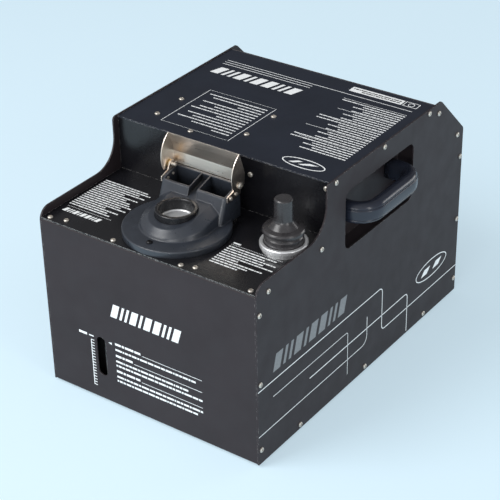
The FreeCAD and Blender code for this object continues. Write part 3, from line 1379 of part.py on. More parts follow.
def make_rear_fittings():
    """Mains inlet, switch, fuse and data sockets, drawn in the rear panel's own frame."""
    drop = number("Size.inlet_drop")
    gauge = number("Size.sheet_gauge")
    inlet_x = number("Size.inlet_x")
    flange = block(inlet_x - 25, inlet_x + 25, drop - 14, drop + 14, 0, INLET_FLANGE)
    corner_edges = [edge for edge in flange.Edges if edge.BoundBox.ZLength > 2]
    flange = flange.makeFillet(6, corner_edges)
    shell = block(inlet_x - 14, inlet_x + 14, drop - 10.5, drop + 10.5, -22, 0)
    cavity = block(inlet_x - 12.2, inlet_x + 12.2, drop - 8.2, drop + 8.2, -17, 3)
    pins = [block(inlet_x + dx - 1, inlet_x + dx + 1, drop + dy - 2, drop + dy + 2, -18, -6)
            for dx, dy in ((-7, 2), (7, 2), (0, -2.5))]
    inlet = flange.fuse(shell).cut(cavity).fuse(pins).cut(fitting_holes()).removeSplitter()
    seat_on_panel(new_shape("power_inlet", inlet), "rear")

    switch_x = number("Size.switch_x")
    bezel = block(switch_x - 8.5, switch_x + 8.5, drop - 14, drop + 14, 0, 2)
    well = block(switch_x - 6.5, switch_x + 6.5, drop - 12, drop + 12, -16, 0)
    mouth = block(switch_x - 5, switch_x + 5, drop - 11, drop + 11, -12, 3)
    pin_hole = cylinder(1.05, Vector(switch_x - 6, drop, ROCKER_PIVOT), X_AXIS, 12)
    frame = bezel.fuse(well).cut(mouth).cut(pin_hole).removeSplitter()
    seat_on_panel(new_shape("switch_frame", frame), "rear")
    seat_on_panel(new_shape("switch_rocker", rocker(switch_x, drop)), "rear")

    fuse = Vector(number("Size.fuse_x"), drop, 0)
    holder = cylinder(9, fuse, Z_AXIS, 2.5).fuse(cylinder(6.5, fuse - Z_AXIS * 30, Z_AXIS, 30))
    holder = holder.cut(cylinder(5.4, fuse - Z_AXIS * 26, Z_AXIS, 40)).removeSplitter()
    seat_on_panel(new_shape("fuse_holder", holder), "rear")
    knob = cylinder(7.2, fuse + Z_AXIS * 2.8, Z_AXIS, 5)
    knob = knob.makeFillet(0.8, [edge for edge in knob.Edges if edge.BoundBox.ZMin > 7.7])
    cap = knob.fuse([cylinder(5.1, fuse - Z_AXIS * 8, Z_AXIS, 11),
                     cylinder(2.8, fuse - Z_AXIS * 25, Z_AXIS, 20)])
    cap = cap.cut(block(fuse.x - 4.5, fuse.x + 4.5, drop - 0.7, drop + 0.7, 6.4, 9))
    seat_on_panel(new_shape("fuse_cap", cap.removeSplitter()), "rear")

    for i, label in enumerate(("data_socket_in", "data_socket_out")):
        middle = Vector(number("Size.socket_x") + i * number("Size.socket_pitch"), drop, 0)
        seat_on_panel(new_shape(label, data_socket(middle, pins=i == 0)), "rear")
    screws = []
    for i, (x, along) in enumerate(fitting_screw_places()):
        place = Vector(number(x), number(along), INLET_FLANGE if i < 2 else SOCKET_PLATE)
        screws.append(pan_screw(place, Z_AXIS, 5, 1.6, number("Size.fitting_shank"), 7))
    seat_on_panel(new_shape("fitting_screws", Part.makeCompound(screws)), "rear")


def fitting_holes():
    """Cutters for the screw holes of the rear fittings."""
    radius = number("Size.fitting_hole / 2")
    return [cylinder(radius, Vector(number(x), number(along), -2), Z_AXIS, 8)
            for x, along in fitting_screw_places()]


def rocker(x, along):
    """The rocker of the mains switch: a shallow key on two small pins."""
    points = [(-9.2, 0.9), (0, 2.6), (9.2, 4.3), (7.6, -3), (3, -8), (-3, -8), (-7.6, -3)]
    corners = [Vector(x - 4.6, along + u, v) for u, v in points]
    key = Part.Face(Part.makePolygon(corners + corners[:1])).extrude(Vector(9.2, 0, 0))
    pins = cylinder(1, Vector(x - 5.8, along, ROCKER_PIVOT), X_AXIS, 11.6)
    return key.fuse(pins).removeSplitter()


def data_socket(middle, pins):
    """A round three-pole data socket on a square plate, with pins or with holes."""
    radius = number("Size.socket_radius")
    plate = block(middle.x - 13, middle.x + 13, middle.y - 15.5, middle.y + 15.5, 0, SOCKET_PLATE)
    plate = plate.makeFillet(3, [edge for edge in plate.Edges if edge.BoundBox.ZLength > 1])
    plate = plate.cut(fitting_holes())
    body = cylinder(radius, middle - Z_AXIS * 20, Z_AXIS, 20)
    socket = plate.fuse(body)
    poles = [Vector(5 * math.cos(math.radians(a)), 5 * math.sin(math.radians(a)), 0)
             for a in (90, 210, 330)]
    if pins:
        socket = socket.cut(cylinder(9.6, middle - Z_AXIS * 15, Z_AXIS, 20))
        rods = [cylinder(1.2, middle + pole - Z_AXIS * 16, Z_AXIS, 11) for pole in poles]
        return socket.fuse(rods).removeSplitter()
    face = cylinder(9.2, middle, Z_AXIS, 3.2)
    socket = socket.fuse(face)
    for pole in poles:
        socket = socket.cut(cylinder(1.5, middle + pole - Z_AXIS * 12, Z_AXIS, 20))
    return socket.removeSplitter()


# ---------------------------------------------------------------- build, check and write


def check_document():
    """Stop if any object failed or any sub-part has no sound shape."""
    for item in doc.Objects:
        if "Invalid" in item.State or "Error" in item.State:
            raise RuntimeError(f"{item.Label} failed: {item.State}")
    for part in sub_parts:
        if part.Shape.isNull() or not part.Shape.isValid():
            raise RuntimeError(f"{part.Label} has no sound shape")


def write_parts():
    """Write each sub-part to its own STEP file."""
    os.makedirs("parts", exist_ok=True)
    for part in sub_parts:
        part.Shape.exportStep(f"parts/{part.Label}.step")
    print(len(sub_parts), "sub-parts written")


fill_sheet()
make_casing()
make_rubber_feet()
make_casing_screws()
make_handles()
make_outlet_head()
make_outlet_details()
make_hood()
make_hood_brackets()
make_filler()
make_level_gauge()
make_fluid_tank()
make_fluid_feed()
make_heater()
make_air_parts()
make_boards()
make_wiring()
make_controls()
make_rear_fittings()
doc.recompute()
check_document()
write_parts()
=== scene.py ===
"""Looks of the haze machine: materials, printed marks, moulded grips, studio and camera.

Places are given in millimetres in the casing's own frame (X across, Y back from the front panel,
Z up from the casing's lower edge) and turned into the shared frame by at().
"""
import json
import math

import bmesh
import bpy
from mathutils import Matrix, Vector


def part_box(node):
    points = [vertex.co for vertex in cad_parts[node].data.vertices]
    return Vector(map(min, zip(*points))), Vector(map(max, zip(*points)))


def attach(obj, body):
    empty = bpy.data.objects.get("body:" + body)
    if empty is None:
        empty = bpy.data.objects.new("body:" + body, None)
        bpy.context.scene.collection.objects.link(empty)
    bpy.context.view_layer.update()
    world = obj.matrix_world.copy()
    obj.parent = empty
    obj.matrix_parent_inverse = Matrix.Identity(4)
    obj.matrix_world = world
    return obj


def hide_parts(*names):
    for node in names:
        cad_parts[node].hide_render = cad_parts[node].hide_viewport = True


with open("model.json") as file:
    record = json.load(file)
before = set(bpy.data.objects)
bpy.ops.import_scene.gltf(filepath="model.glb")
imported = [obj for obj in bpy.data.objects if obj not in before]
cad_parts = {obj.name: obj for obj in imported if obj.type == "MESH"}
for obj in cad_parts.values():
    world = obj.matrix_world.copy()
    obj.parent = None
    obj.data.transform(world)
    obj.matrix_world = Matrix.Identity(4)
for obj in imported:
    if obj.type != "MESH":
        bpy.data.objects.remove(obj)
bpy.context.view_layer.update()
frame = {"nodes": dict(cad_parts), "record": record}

MM = 0.001

# The casing's main sizes, from its plates.
PLATE_LOW, PLATE_HIGH = (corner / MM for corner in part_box("side_plate_right"))
FRONT_Y, LOWER_Z = PLATE_LOW.y, PLATE_LOW.z
CASING_DEPTH = PLATE_HIGH.y - FRONT_Y
HALF_WIDTH = PLATE_HIGH.x
DECK_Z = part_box("deck_plate")[1].z / MM - LOWER_Z
TOP_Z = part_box("top_cover")[1].z / MM - LOWER_Z


def at(x, y, z):
    """A place of the casing frame, in metres of the shared frame."""
    return Vector((x, y + FRONT_Y, z + LOWER_Z)) * MM


def add_object(name, data):
    """A new object of the scene."""
    made = bpy.data.objects.new(name, data)
    bpy.context.scene.collection.objects.link(made)
    return made


# ---------------------------------------------------------------- materials


# Sockets of a Mix node that mixes colours.
MIX_FIRST, MIX_SECOND, MIX_RESULT = 6, 7, 2
# Colour of the painted glints along sharp edges, where the paint catches the light.
PAINTED_GLINT_COLOUR = (0.45, 0.44, 0.43)
UNSTRETCHED = (1.0, 1.0, 1.0)


class Surface:
    """A Principled material with its nodes, built up step by step; sizes are in millimetres."""

    def __init__(self, name, colour, roughness, metallic=0.0, specular=0.5):
        self.name = name
        self.material = bpy.data.materials.new(name)
        self.material.use_nodes = True
        self.tree = self.material.node_tree
        self.shader = self.tree.nodes["Principled BSDF"]
        self.colour = colour
        self.roughness = roughness
        self.shader.inputs["Base Color"].default_value = (*colour, 1.0)
        self.shader.inputs["Roughness"].default_value = roughness
        self.shader.inputs["Metallic"].default_value = metallic
        self.shader.inputs["Specular IOR Level"].default_value = specular
        self.place = self.node("ShaderNodeTexCoord").outputs["Object"]
        self.colour_output = None
        self.normal = None

    def node(self, kind, **settings):
        """A new node with some of its settings."""
        made = self.tree.nodes.new(kind)
        for key, value in settings.items():
            setattr(made, key, value)
        return made

    def link(self, output, socket):
        """Join two sockets."""
        self.tree.links.new(output, socket)

    def span(self, value, from_range, to_range):
        """A value mapped from one range to another."""
        node = self.node("ShaderNodeMapRange")
        node.inputs["From Min"].default_value, node.inputs["From Max"].default_value = from_range
        node.inputs["To Min"].default_value, node.inputs["To Max"].default_value = to_range
        self.link(value, node.inputs["Value"])
        return node.outputs["Result"]

    def noise(self, size, detail, stretch=UNSTRETCHED):
        """Noise whose grains are about as large as size, stretched along the axes."""
        mapping = self.node("ShaderNodeMapping")
        mapping.inputs["Scale"].default_value = [1.0 / s for s in stretch]
        self.link(self.place, mapping.inputs["Vector"])
        texture = self.node("ShaderNodeTexNoise")
        texture.inputs["Scale"].default_value = 1.0 / (size * MM)
        texture.inputs["Detail"].default_value = detail
        texture.inputs["Roughness"].default_value = 0.5
        self.link(mapping.outputs["Vector"], texture.inputs["Vector"])
        return texture.outputs["Fac"]

    def vary_colour(self, size, amount, stretch=UNSTRETCHED):
        """Mottle the colour between its darker and its lighter side."""
        ramp = self.node("ShaderNodeValToRGB")
        dark, light = ramp.color_ramp.elements
        dark.position = 0.35
        dark.color = (*(c * (1.0 - amount) for c in self.colour), 1.0)
        light.position = 0.68
        light.color = (*(min(1.0, c * (1.0 + amount)) for c in self.colour), 1.0)
        self.link(self.noise(size, 4.0, stretch), ramp.inputs["Fac"])
        self.colour_output = ramp.outputs["Color"]
        self.link(self.colour_output, self.shader.inputs["Base Color"])
        return self

    def vary_roughness(self, size, spread, stretch=UNSTRETCHED):
        """Let the roughness wander about its value."""
        to_range = (max(0.02, self.roughness - spread), min(1.0, self.roughness + spread))
        wander = self.span(self.noise(size, 4.0, stretch), (0.3, 0.7), to_range)
        self.link(wander, self.shader.inputs["Roughness"])
        return self

    def grain(self, size, height, stretch=UNSTRETCHED):
        """Raise the surface by noise; several calls add up."""
        bump = self.node("ShaderNodeBump")
        bump.inputs["Strength"].default_value = 1.0
        bump.inputs["Distance"].default_value = height * MM
        self.link(self.noise(size, 2.0, stretch), bump.inputs["Height"])
        if self.normal:
            self.link(self.normal, bump.inputs["Normal"])
        self.normal = bump.outputs["Normal"]
        self.link(self.normal, self.shader.inputs["Normal"])
        return self

    def painted_edge_glints(self, radius, patch, strength, threshold):
        """Painted glints along sharp edges, in patches, mixed into the colour; call it after
        vary_colour.
        """
        bevel = self.node("ShaderNodeBevel", samples=4)
        bevel.inputs["Radius"].default_value = radius * MM
        geometry = self.node("ShaderNodeNewGeometry")
        agree = self.node("ShaderNodeVectorMath", operation="DOT_PRODUCT")
        self.link(bevel.outputs["Normal"], agree.inputs[0])
        self.link(geometry.outputs["Normal"], agree.inputs[1])
        edge = self.span(agree.outputs["Value"], (0.995, 0.90), (0.0, 1.0))
        patches = self.span(self.noise(patch, 5.0), (threshold, threshold + 0.1), (0.0, strength))
        both = self.node("ShaderNodeMath", operation="MULTIPLY")
        self.link(edge, both.inputs[0])
        self.link(patches, both.inputs[1])
        mix = self.node("ShaderNodeMix", data_type="RGBA")
        self.link(both.outputs["Value"], mix.inputs["Factor"])
        self.link(self.colour_output, mix.inputs[MIX_FIRST])
        mix.inputs[MIX_SECOND].default_value = (*PAINTED_GLINT_COLOUR, 1.0)
        self.link(mix.outputs[MIX_RESULT], self.shader.inputs["Base Color"])
        return self

    def moulded_corners(self, radius):
        """Shade sharp corners as if they were rounded; call it before any grain."""
        bevel = self.node("ShaderNodeBevel", samples=6)
        bevel.inputs["Radius"].default_value = radius * MM
        self.normal = bevel.outputs["Normal"]
        return self

    def brushed_across(self, strength):
        """Brush marks along X, which stretch the shine up and down."""
        upright = self.node("ShaderNodeCombineXYZ")
        upright.inputs["Z"].default_value = 1.0
        turned = self.node("ShaderNodeVectorTransform", convert_from="OBJECT", convert_to="WORLD")
        self.link(upright.outputs["Vector"], turned.inputs["Vector"])
        self.link(turned.outputs["Vector"], self.shader.inputs["Tangent"])
        self.shader.inputs["Anisotropic"].default_value = strength
        return self

    def painted_hollow_shade(self, reach, least):
        """Painted shade: darken the colour in narrow hollows down to the share least of it; call it
        after vary_colour.
        """
        enclosed = self.node("ShaderNodeAmbientOcclusion", samples=8)
        enclosed.inputs["Distance"].default_value = reach * MM
        share = self.span(enclosed.outputs["AO"], (0.25, 0.75), (least, 1.0))
        mix = self.node("ShaderNodeMix", data_type="RGBA", blend_type="MULTIPLY")
        mix.inputs["Factor"].default_value = 1.0
        self.link(self.colour_output, mix.inputs[MIX_FIRST])
        self.link(share, mix.inputs[MIX_SECOND])
        self.colour_output = mix.outputs[MIX_RESULT]
        self.link(self.colour_output, self.shader.inputs["Base Color"])
        return self

    def see_through(self, share, bending):
        """Let light pass, with its index of refraction."""
        self.shader.inputs["Transmission Weight"].default_value = share
        self.shader.inputs["IOR"].default_value = bending
        return self


def paints():
    """Powder paints of the casing, with painted glints in patches along their sharp edges."""
    side = Surface("side_paint", (0.024, 0.018, 0.021), 0.55, specular=0.33)
    side.vary_colour(60, 0.08).vary_roughness(25, 0.05).grain(1.3, 0.05).grain(0.4, 0.012)
    # Painted glints along the edges of each paint, in patches.
    side.painted_edge_glints(radius=0.5, patch=3.0, strength=0.6, threshold=0.5)
    deck = Surface("deck_paint", (0.008, 0.008, 0.010), 0.24, specular=0.4)
    deck.vary_colour(40, 0.2).vary_roughness(18, 0.05).grain(1.8, 0.16).grain(0.7, 0.02)
    deck.painted_edge_glints(radius=0.9, patch=1.8, strength=0.9, threshold=0.42)
    top = Surface("top_paint", (0.014, 0.018, 0.029), 0.5, specular=0.25)
    top.vary_colour(50, 0.10).vary_roughness(22, 0.05).grain(1.6, 0.02).grain(0.4, 0.005)
    top.painted_edge_glints(radius=0.9, patch=1.8, strength=0.8, threshold=0.46)
    return [side, deck, top]


def outer_plastics():
    """Moulded plastics and rubber that are seen from outside."""
    slate = Surface("slate_plastic", (0.026, 0.031, 0.041), 0.32, specular=0.6)
    # Painted shade darkens the slate plastic in its hollows and joints.
    slate.vary_colour(14, 0.12).painted_hollow_shade(reach=30, least=0.15).vary_roughness(9, 0.06)
    slate.moulded_corners(1.6).grain(0.4, 0.006).grain(7.0, 0.02)
    grip = Surface("grip_plastic", (0.020, 0.024, 0.037), 0.20, specular=0.45)
    grip.vary_colour(20, 0.12).vary_roughness(8, 0.05).grain(0.5, 0.004).grain(9.0, 0.02)
    gloss = Surface("black_gloss_plastic", (0.008, 0.008, 0.010), 0.27)
    gloss.vary_colour(9, 0.15).vary_roughness(7, 0.05).grain(0.5, 0.004)
    rubber = Surface("rubber", (0.028, 0.026, 0.028), 0.28, specular=0.6)
    rubber.vary_colour(7, 0.14).vary_roughness(5, 0.06).grain(0.4, 0.006).grain(4.0, 0.008)
    display = Surface("display_black", (0.006, 0.009, 0.012), 0.08)
    display.vary_colour(9, 0.2).vary_roughness(6, 0.02).grain(4.0, 0.002)
    button = Surface("button_plastic", (0.13, 0.13, 0.14), 0.45)
    button.vary_colour(4, 0.12).vary_roughness(3, 0.05).grain(0.4, 0.008)
    switch = Surface("switch_red", (0.42, 0.018, 0.015), 0.24)
    switch.vary_colour(5, 0.1).vary_roughness(3, 0.04).grain(0.8, 0.004)
    return [slate, grip, gloss, rubber, display, button, switch]


def metals():
    """Bare metals; the stainless sheet is brushed across the machine, the neck is turned."""
    stainless = Surface("stainless", (0.86, 0.77, 0.68), 0.31, metallic=1.0)
    stainless.brushed_across(0.55).vary_colour(9, 0.05, (10.0, 1.0, 1.0))
    stainless.vary_roughness(1.2, 0.04, (24.0, 1.0, 1.0)).grain(0.8, 0.0008, (40.0, 1.0, 1.0))
    neck = Surface("neck_steel", (0.86, 0.87, 0.88), 0.30, metallic=0.7)
    neck.vary_colour(12, 0.05, (1.0, 1.0, 8.0)).vary_roughness(6, 0.05, (1.0, 1.0, 8.0))
    neck.grain(3.0, 0.004, (1.0, 1.0, 12.0))
    nickel = Surface("nickel_steel", (0.62, 0.58, 0.52), 0.40, metallic=0.8)
    nickel.vary_colour(2.5, 0.12).vary_roughness(1.5, 0.08).grain(0.5, 0.003)
    black = Surface("black_steel", (0.014, 0.014, 0.016), 0.28, metallic=0.6)
    black.vary_colour(2.0, 0.2).vary_roughness(1.5, 0.08).grain(0.3, 0.004)
    zinc = Surface("zinc_steel", (0.50, 0.51, 0.53), 0.38, metallic=1.0)
    zinc.vary_colour(9, 0.12).vary_roughness(6, 0.1).grain(1.5, 0.01)
    bright = Surface("bright_aluminium", (0.72, 0.73, 0.74), 0.42, metallic=0.6)
    bright.vary_colour(6, 0.04).vary_roughness(3, 0.05).grain(0.5, 0.003)
    cast = Surface("cast_aluminium", (0.50, 0.50, 0.51), 0.55, metallic=1.0)
    cast.vary_colour(8, 0.12).vary_roughness(5, 0.1).grain(1.2, 0.05)
    brass = Surface("brass", (0.74, 0.53, 0.24), 0.25, metallic=1.0)
    brass.vary_colour(2.5, 0.1).vary_roughness(2, 0.06).grain(0.4, 0.003)
    return [stainless, neck, nickel, black, zinc, bright, cast, brass]


def inner_materials():
    """Materials of the pieces inside the casing."""
    duct = Surface("tray_plastic", (0.030, 0.030, 0.034), 0.6)
    duct.vary_colour(20, 0.12).vary_roughness(12, 0.06).grain(0.6, 0.03)
    # The tank's near black colour is painted shade, so that the level slot looks dark inside; its
    # plastic is paler.
    tank = Surface("tank_plastic", (0.035, 0.036, 0.038), 0.4)
    tank.vary_colour(30, 0.06).vary_roughness(15, 0.05).grain(2.5, 0.03)
    tube = Surface("clear_tube", (0.20, 0.21, 0.22), 0.12)
    tube.vary_colour(6, 0.05).vary_roughness(5, 0.03).grain(2.0, 0.004).see_through(0.5, 1.45)
    pump = Surface("pump_metal", (0.10, 0.11, 0.13), 0.42)
    pump.vary_colour(12, 0.12).vary_roughness(6, 0.06).grain(0.8, 0.02)
    hose = Surface("hose_plastic", (0.66, 0.68, 0.68), 0.35)
    hose.vary_colour(9, 0.08).vary_roughness(5, 0.05).grain(1.0, 0.01)
    jacket = Surface("jacket_cloth", (0.60, 0.57, 0.50), 0.85)
    jacket.vary_colour(3, 0.14).grain(1.2, 0.15)
    board = Surface("circuit_board", (0.02, 0.13, 0.06), 0.35)
    board.vary_colour(6, 0.2).vary_roughness(4, 0.08).grain(1.5, 0.01)
    cable = Surface("cable_jacket", (0.02, 0.02, 0.022), 0.45)
    cable.vary_colour(4, 0.15).vary_roughness(3, 0.06).grain(0.6, 0.01)
    return [duct, tank, tube, pump, hose, jacket, board, cable]


def inks():
    """Screen-printing inks."""
    white = Surface("white_ink", (0.90, 0.93, 0.94), 0.5)
    grey = Surface("grey_ink", (0.22, 0.23, 0.24), 0.5)
    for ink in (white, grey):
        ink.vary_colour(3, 0.08).vary_roughness(4, 0.05).grain(0.5, 0.006)
    return [white, grey]


def make_materials():
    """One finished material per slot of the record, and the inks, by name."""
    surfaces = paints() + outer_plastics() + metals() + inner_materials() + inks()
    return {surface.name: surface.material for surface in surfaces}


MATERIALS = make_materials()

# Nodes whose finish differs from the slot that the record gives them.
OWN_FINISH = {
    "filler_neck": "neck_steel",
    "handle_tray_left": "side_paint",
    "handle_tray_right": "side_paint",
}

# Edge rounding, and where it is not the usual one.
USUAL_EDGE = 0.25
OWN_EDGE = {
    "side_plate_left": 0.45,
    "side_plate_right": 0.45,
    "outlet_head": 0.5,
    "side_screws": 0.12,
    "cover_screws": 0.12,
    "fitting_screws": 0.1,
    "bracket_screws": 0.1,
    "pivot_screws": 0.12,
    "outlet_screw": 0.12,
    "blower_rotor": 0.1,
    "deflector_hood": 0.3,
    "display_module": 0.15,
}

# Smallest corner, in degrees, that counts as an edge, and where a fold is blunter than that.
USUAL_CORNER = 32
OWN_CORNER = {"deflector_hood": 15}


def break_edges(item, width, corner):
    """Weld, merge flat facets, bevel the sharp edges and smooth the rest."""
    weld = item.modifiers.new("weld", "WELD")
    weld.merge_threshold = 0.005 * MM
    flat = item.modifiers.new("flat", "DECIMATE")
    flat.decimate_type = "DISSOLVE"
    flat.angle_limit = math.radians(0.5)
    bevel = item.modifiers.new("edges", "BEVEL")
    bevel.width = width * MM
    bevel.segments = 2
    bevel.limit_method = "ANGLE"
    bevel.angle_limit = math.radians(corner)
    bevel.use_clamp_overlap = True
    normals = item.modifiers.new("normals", "WEIGHTED_NORMAL")
    normals.weight = 90
    normals.keep_sharp = True
    for polygon in item.data.polygons:
        polygon.use_smooth = True


def dress_cad_nodes():
    """Give every CAD node its material, welded vertices and softly broken edges."""
    slots = {entry["node"]: entry["material_slot"] for entry in frame["record"]["subparts"]}
    for name, node in frame["nodes"].items():
        material = MATERIALS[OWN_FINISH.get(name, slots[name])]
        for slot in node.material_slots:
            slot.material = material
        if not node.material_slots:
            node.data.materials.append(material)
        break_edges(node, OWN_EDGE.get(name, USUAL_EDGE), OWN_CORNER.get(name, USUAL_CORNER))


# ---------------------------------------------------------------- printed marks


# How far ink stands above its face, and reaches into it.
INK_LIFT, INK_ROOT = 0.05, 0.02
# Widths of the slanted bars that stand for a printed title, and of the gap between them.
TITLE_BARS = (2.2, 0.8, 0.8, 2.2, 0.8, 2.2, 2.2, 0.8, 0.8, 2.2)
BAR_GAP = 0.9
# How far a title leans over its height.
TITLE_SLANT = 0.3
# Dashes of small print, in heights of their row: the shortest, what a step adds, the gap between
# them, and the rest of a row that is too short for another one.
DASH_LEAST, DASH_STEP, DASH_GAP, DASH_REST = 0.8, 0.34, 0.42, 0.6
# Distance between the dots of a dotted rule, in dots.
DOT_PITCH = 2.4
# Straight pieces of a ring, and of a pinstripe's bend.
RING_STEPS, BEND_STEPS = 40, 8


class Print:
    """Ink on one flat face: thin raised shapes, gathered in a single piece."""

    def __init__(self, name, place, ink="white_ink", lift=INK_LIFT, body="casing"):
        self.name = name
        self.place = place
        self.ink = ink
        self.lift = lift
        self.body = body
        self.mesh = bmesh.new()

    def patch(self, corners):
        """One flat shape, given by its corners in face coordinates, raised by the ink's lift."""
        low = [self.mesh.verts.new((x * MM, y * MM, -INK_ROOT * MM)) for x, y in corners]
        high = [self.mesh.verts.new((x * MM, y * MM, self.lift * MM)) for x, y in corners]
        self.mesh.faces.new(high)
        self.mesh.faces.new(low[::-1])
        count = len(corners)
        for i in range(count):
            j = (i + 1) % count
            self.mesh.faces.new((low[i], low[j], high[j], high[i]))

    def bar(self, x_low, x_high, y_low, y_high):
        """An upright rectangle."""
        self.patch([(x_low, y_low), (x_high, y_low), (x_high, y_high), (x_low, y_high)])

    def frame(self, x_low, x_high, y_low, y_high, line):
        """The outline of a rectangle."""
        self.bar(x_low, x_high, y_low, y_low + line)
        self.bar(x_low, x_high, y_high - line, y_high)
        self.bar(x_low, x_low + line, y_low + line, y_high - line)
        self.bar(x_high - line, x_high, y_low + line, y_high - line)

    def ring(self, x, y, radius, line, flatten=1.0):
        """A round or oval outline."""
        turns = [2 * math.pi * i / RING_STEPS for i in range(RING_STEPS + 1)]
        inner = radius - line
        for a, b in zip(turns, turns[1:]):
            self.patch([
                (x + radius * math.cos(a), y + radius * flatten * math.sin(a)),
                (x + radius * math.cos(b), y + radius * flatten * math.sin(b)),
                (x + inner * math.cos(b), y + (radius * flatten - line) * math.sin(b)),
                (x + inner * math.cos(a), y + (radius * flatten - line) * math.sin(a)),
            ])

    def row(self, start, end, y, height, seed=1):
        """Short dashes of mixed length from start to end, in place of a line of small print."""
        way = 1 if end > start else -1
        reach = abs(end - start)
        done, step = 0.0, seed
        while done < reach - height * DASH_REST:
            # A fixed, mixed order of the steps 0 to 10.
            step = (step * 7 + 3) % 11
            length = min(height * (DASH_LEAST + step * DASH_STEP), reach - done)
            low, high = sorted((start + way * done, start + way * (done + length)))
            self.bar(low, high, y, y + height)
            done += length + height * DASH_GAP

    def rows(self, start, end, y_first, pitch, height, fills, seed=3):
        """Rows of dashes one after the other; each fill is the share of the width its row takes."""
        for i, fill in enumerate(fills):
            self.row(start, start + (end - start) * fill, y_first + i * pitch, height, seed + 5 * i)

    def dots(self, start, end, y, size):
        """A dotted rule."""
        pitch = DOT_PITCH * size
        for i in range(int((end - start) / pitch)):
            x = start + i * pitch
            self.bar(x, x + size, y, y + size)

    def title(self, x_low, x_high, y_low, y_high):
        """A band of slanted bars of mixed width, in place of a title."""
        slant = (y_high - y_low) * TITLE_SLANT
        unit = (x_high - x_low - slant) / sum(width + BAR_GAP for width in TITLE_BARS)
        left = x_low
        for width in TITLE_BARS:
            right = left + width * unit
            self.patch([(left, y_low), (right, y_low), (right + slant, y_high), (left + slant, y_high)])
            left = right + BAR_GAP * unit

    def stripe(self, points, line, bend):
        """A pinstripe along straight runs whose corners are rounded over the length bend."""
        corners = [Vector(p) for p in points]
        places = [corners[0]]
        for before, corner, after in zip(corners, corners[1:], corners[2:]):
            start = corner + (before - corner).normalized() * bend
            end = corner + (after - corner).normalized() * bend
            for i in range(BEND_STEPS + 1):
                t = i / BEND_STEPS
                places.append(start * (1 - t) ** 2 + corner * 2 * t * (1 - t) + end * t ** 2)
        places.append(corners[-1])
        edges = []
        for i, p in enumerate(places):
            along = (places[min(i + 1, len(places) - 1)] - places[max(i - 1, 0)]).normalized()
            across = Vector((-along.y, along.x)) * line / 2
            edges.append((p + across, p - across))
        for (a, b), (c, d) in zip(edges, edges[1:]):
            self.patch([b, d, c, a])

    def finish(self):
        """Turn the gathered shapes into a piece that rides on its body."""
        data = bpy.data.meshes.new(self.name)
        bmesh.ops.recalc_face_normals(self.mesh, faces=self.mesh.faces)
        self.mesh.to_mesh(data)
        self.mesh.free()
        data.transform(self.place)
        data.materials.append(MATERIALS[self.ink])
        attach(add_object(self.name, data), self.body)


def face(origin, across, up):
    """Matrix of a printed face: its own x runs across, its y up, its z out of the face."""
    across, up = Vector(across), Vector(up)
    turn = Matrix((across, up, across.cross(up))).transposed().to_4x4()
    return Matrix.Translation(origin) @ turn


TOP_FACE = face(at(0, 0, TOP_Z), (1, 0, 0), (0, 1, 0))
DECK_FACE = face(at(0, 0, DECK_Z), (1, 0, 0), (0, 1, 0))
FRONT_FACE = face(at(0, 0, 0), (1, 0, 0), (0, 0, 1))
RIGHT_FACE = face(at(HALF_WIDTH, 0, 0), (0, 1, 0), (0, 0, 1))
LEFT_FACE = face(at(-HALF_WIDTH, CASING_DEPTH, 0), (0, -1, 0), (0, 0, 1))


def print_top_title(page):
    """Title near the rear edge, two short lines and a long one behind it, and the pale label."""
    left, right, line = -132, 134, 0.9
    page.title(-131, 0, 301, 319)
    for y, end in ((328.8, -2), (334.2, -2), (339.6, right)):
        page.bar(left, end, y, y + line)
    label_low, label_high = 349, 361
    page.bar(41, 113, label_low, label_high)
    page.frame(115, right, label_low, label_high, line)
    page.ring(124.5, (label_low + label_high) / 2, 4.2, line)


def print_top_advice(page):
    """Five ruled paragraphs on the right of the top cover, which fill from the right."""
    right = 134
    fills = (1.0, 0.62, 0.74, 0.55, 0.70)
    for i, y in enumerate((328, 301, 274, 247, 220)):
        page.bar(47 + 9 * (i % 3), right, y, y + 0.5)
        page.rows(right, 47, y - 5, -5.1, 1.8, fills[i % 2:] + fills[:i % 2], 3 + i)


def print_top_box(page):
    """A box of small print with lines at its sides and dotted rules at its ends."""
    low, high = 162, 259
    line = 0.7
    for x in (-99, -2.7):
        page.bar(x, x + line, low, high)
    for y in (low, high - line):
        page.dots(-98, -3, y, 0.8)
    fills = (1.0, 0.9, 0.4, 0.96, 0.7, 0.9, 1.0, 0.5, 0.95, 0.8, 1.0, 0.7, 0.3)
    page.rows(-9, -92, 249, -6.4, 1.8, fills)


def print_top_cover():
    """Marks on the top cover, which read from the rear of the machine."""
    page = Print("top_marks", TOP_FACE)
    print_top_title(page)
    print_top_advice(page)
    page.ring(100, 163.5, 28, 1.5, 0.36)
    page.patch([(82, 160), (88, 160), (97, 167), (91, 167)])
    page.patch([(95, 160), (101, 160), (118, 167), (106, 167)])
    print_top_box(page)
    page.finish()
    note = Print("label_marks", TOP_FACE, "black_gloss_plastic", lift=0.09)
    note.rows(110, 44, 355.8, -4.2, 2.2, (1.0, 0.8))
    note.finish()


def print_deck():
    """Two blocks of small print on the deck, left of the outlet head and in front of the filler."""
    page = Print("deck_marks", DECK_FACE)
    page.title(-140, -84, 27, 34.5)
    page.dots(-141, -76, 38.5, 0.9)
    left_fills = (0.86, 0.74, 0.93, 0.6, 0.97, 0.82, 1.0, 0.9)
    page.rows(-143, -73, 43.5, 4.3, 1.9, left_fills * 2)
    page.dots(66, 136, 72, 0.9)
    page.row(66, 76, 75, 2.6)
    page.rows(66, 136, 67, -4.5, 1.9, (0.9, 0.72, 0.97, 0.8, 1.0, 0.4, 0.9, 0.66, 0.52))
    page.finish()


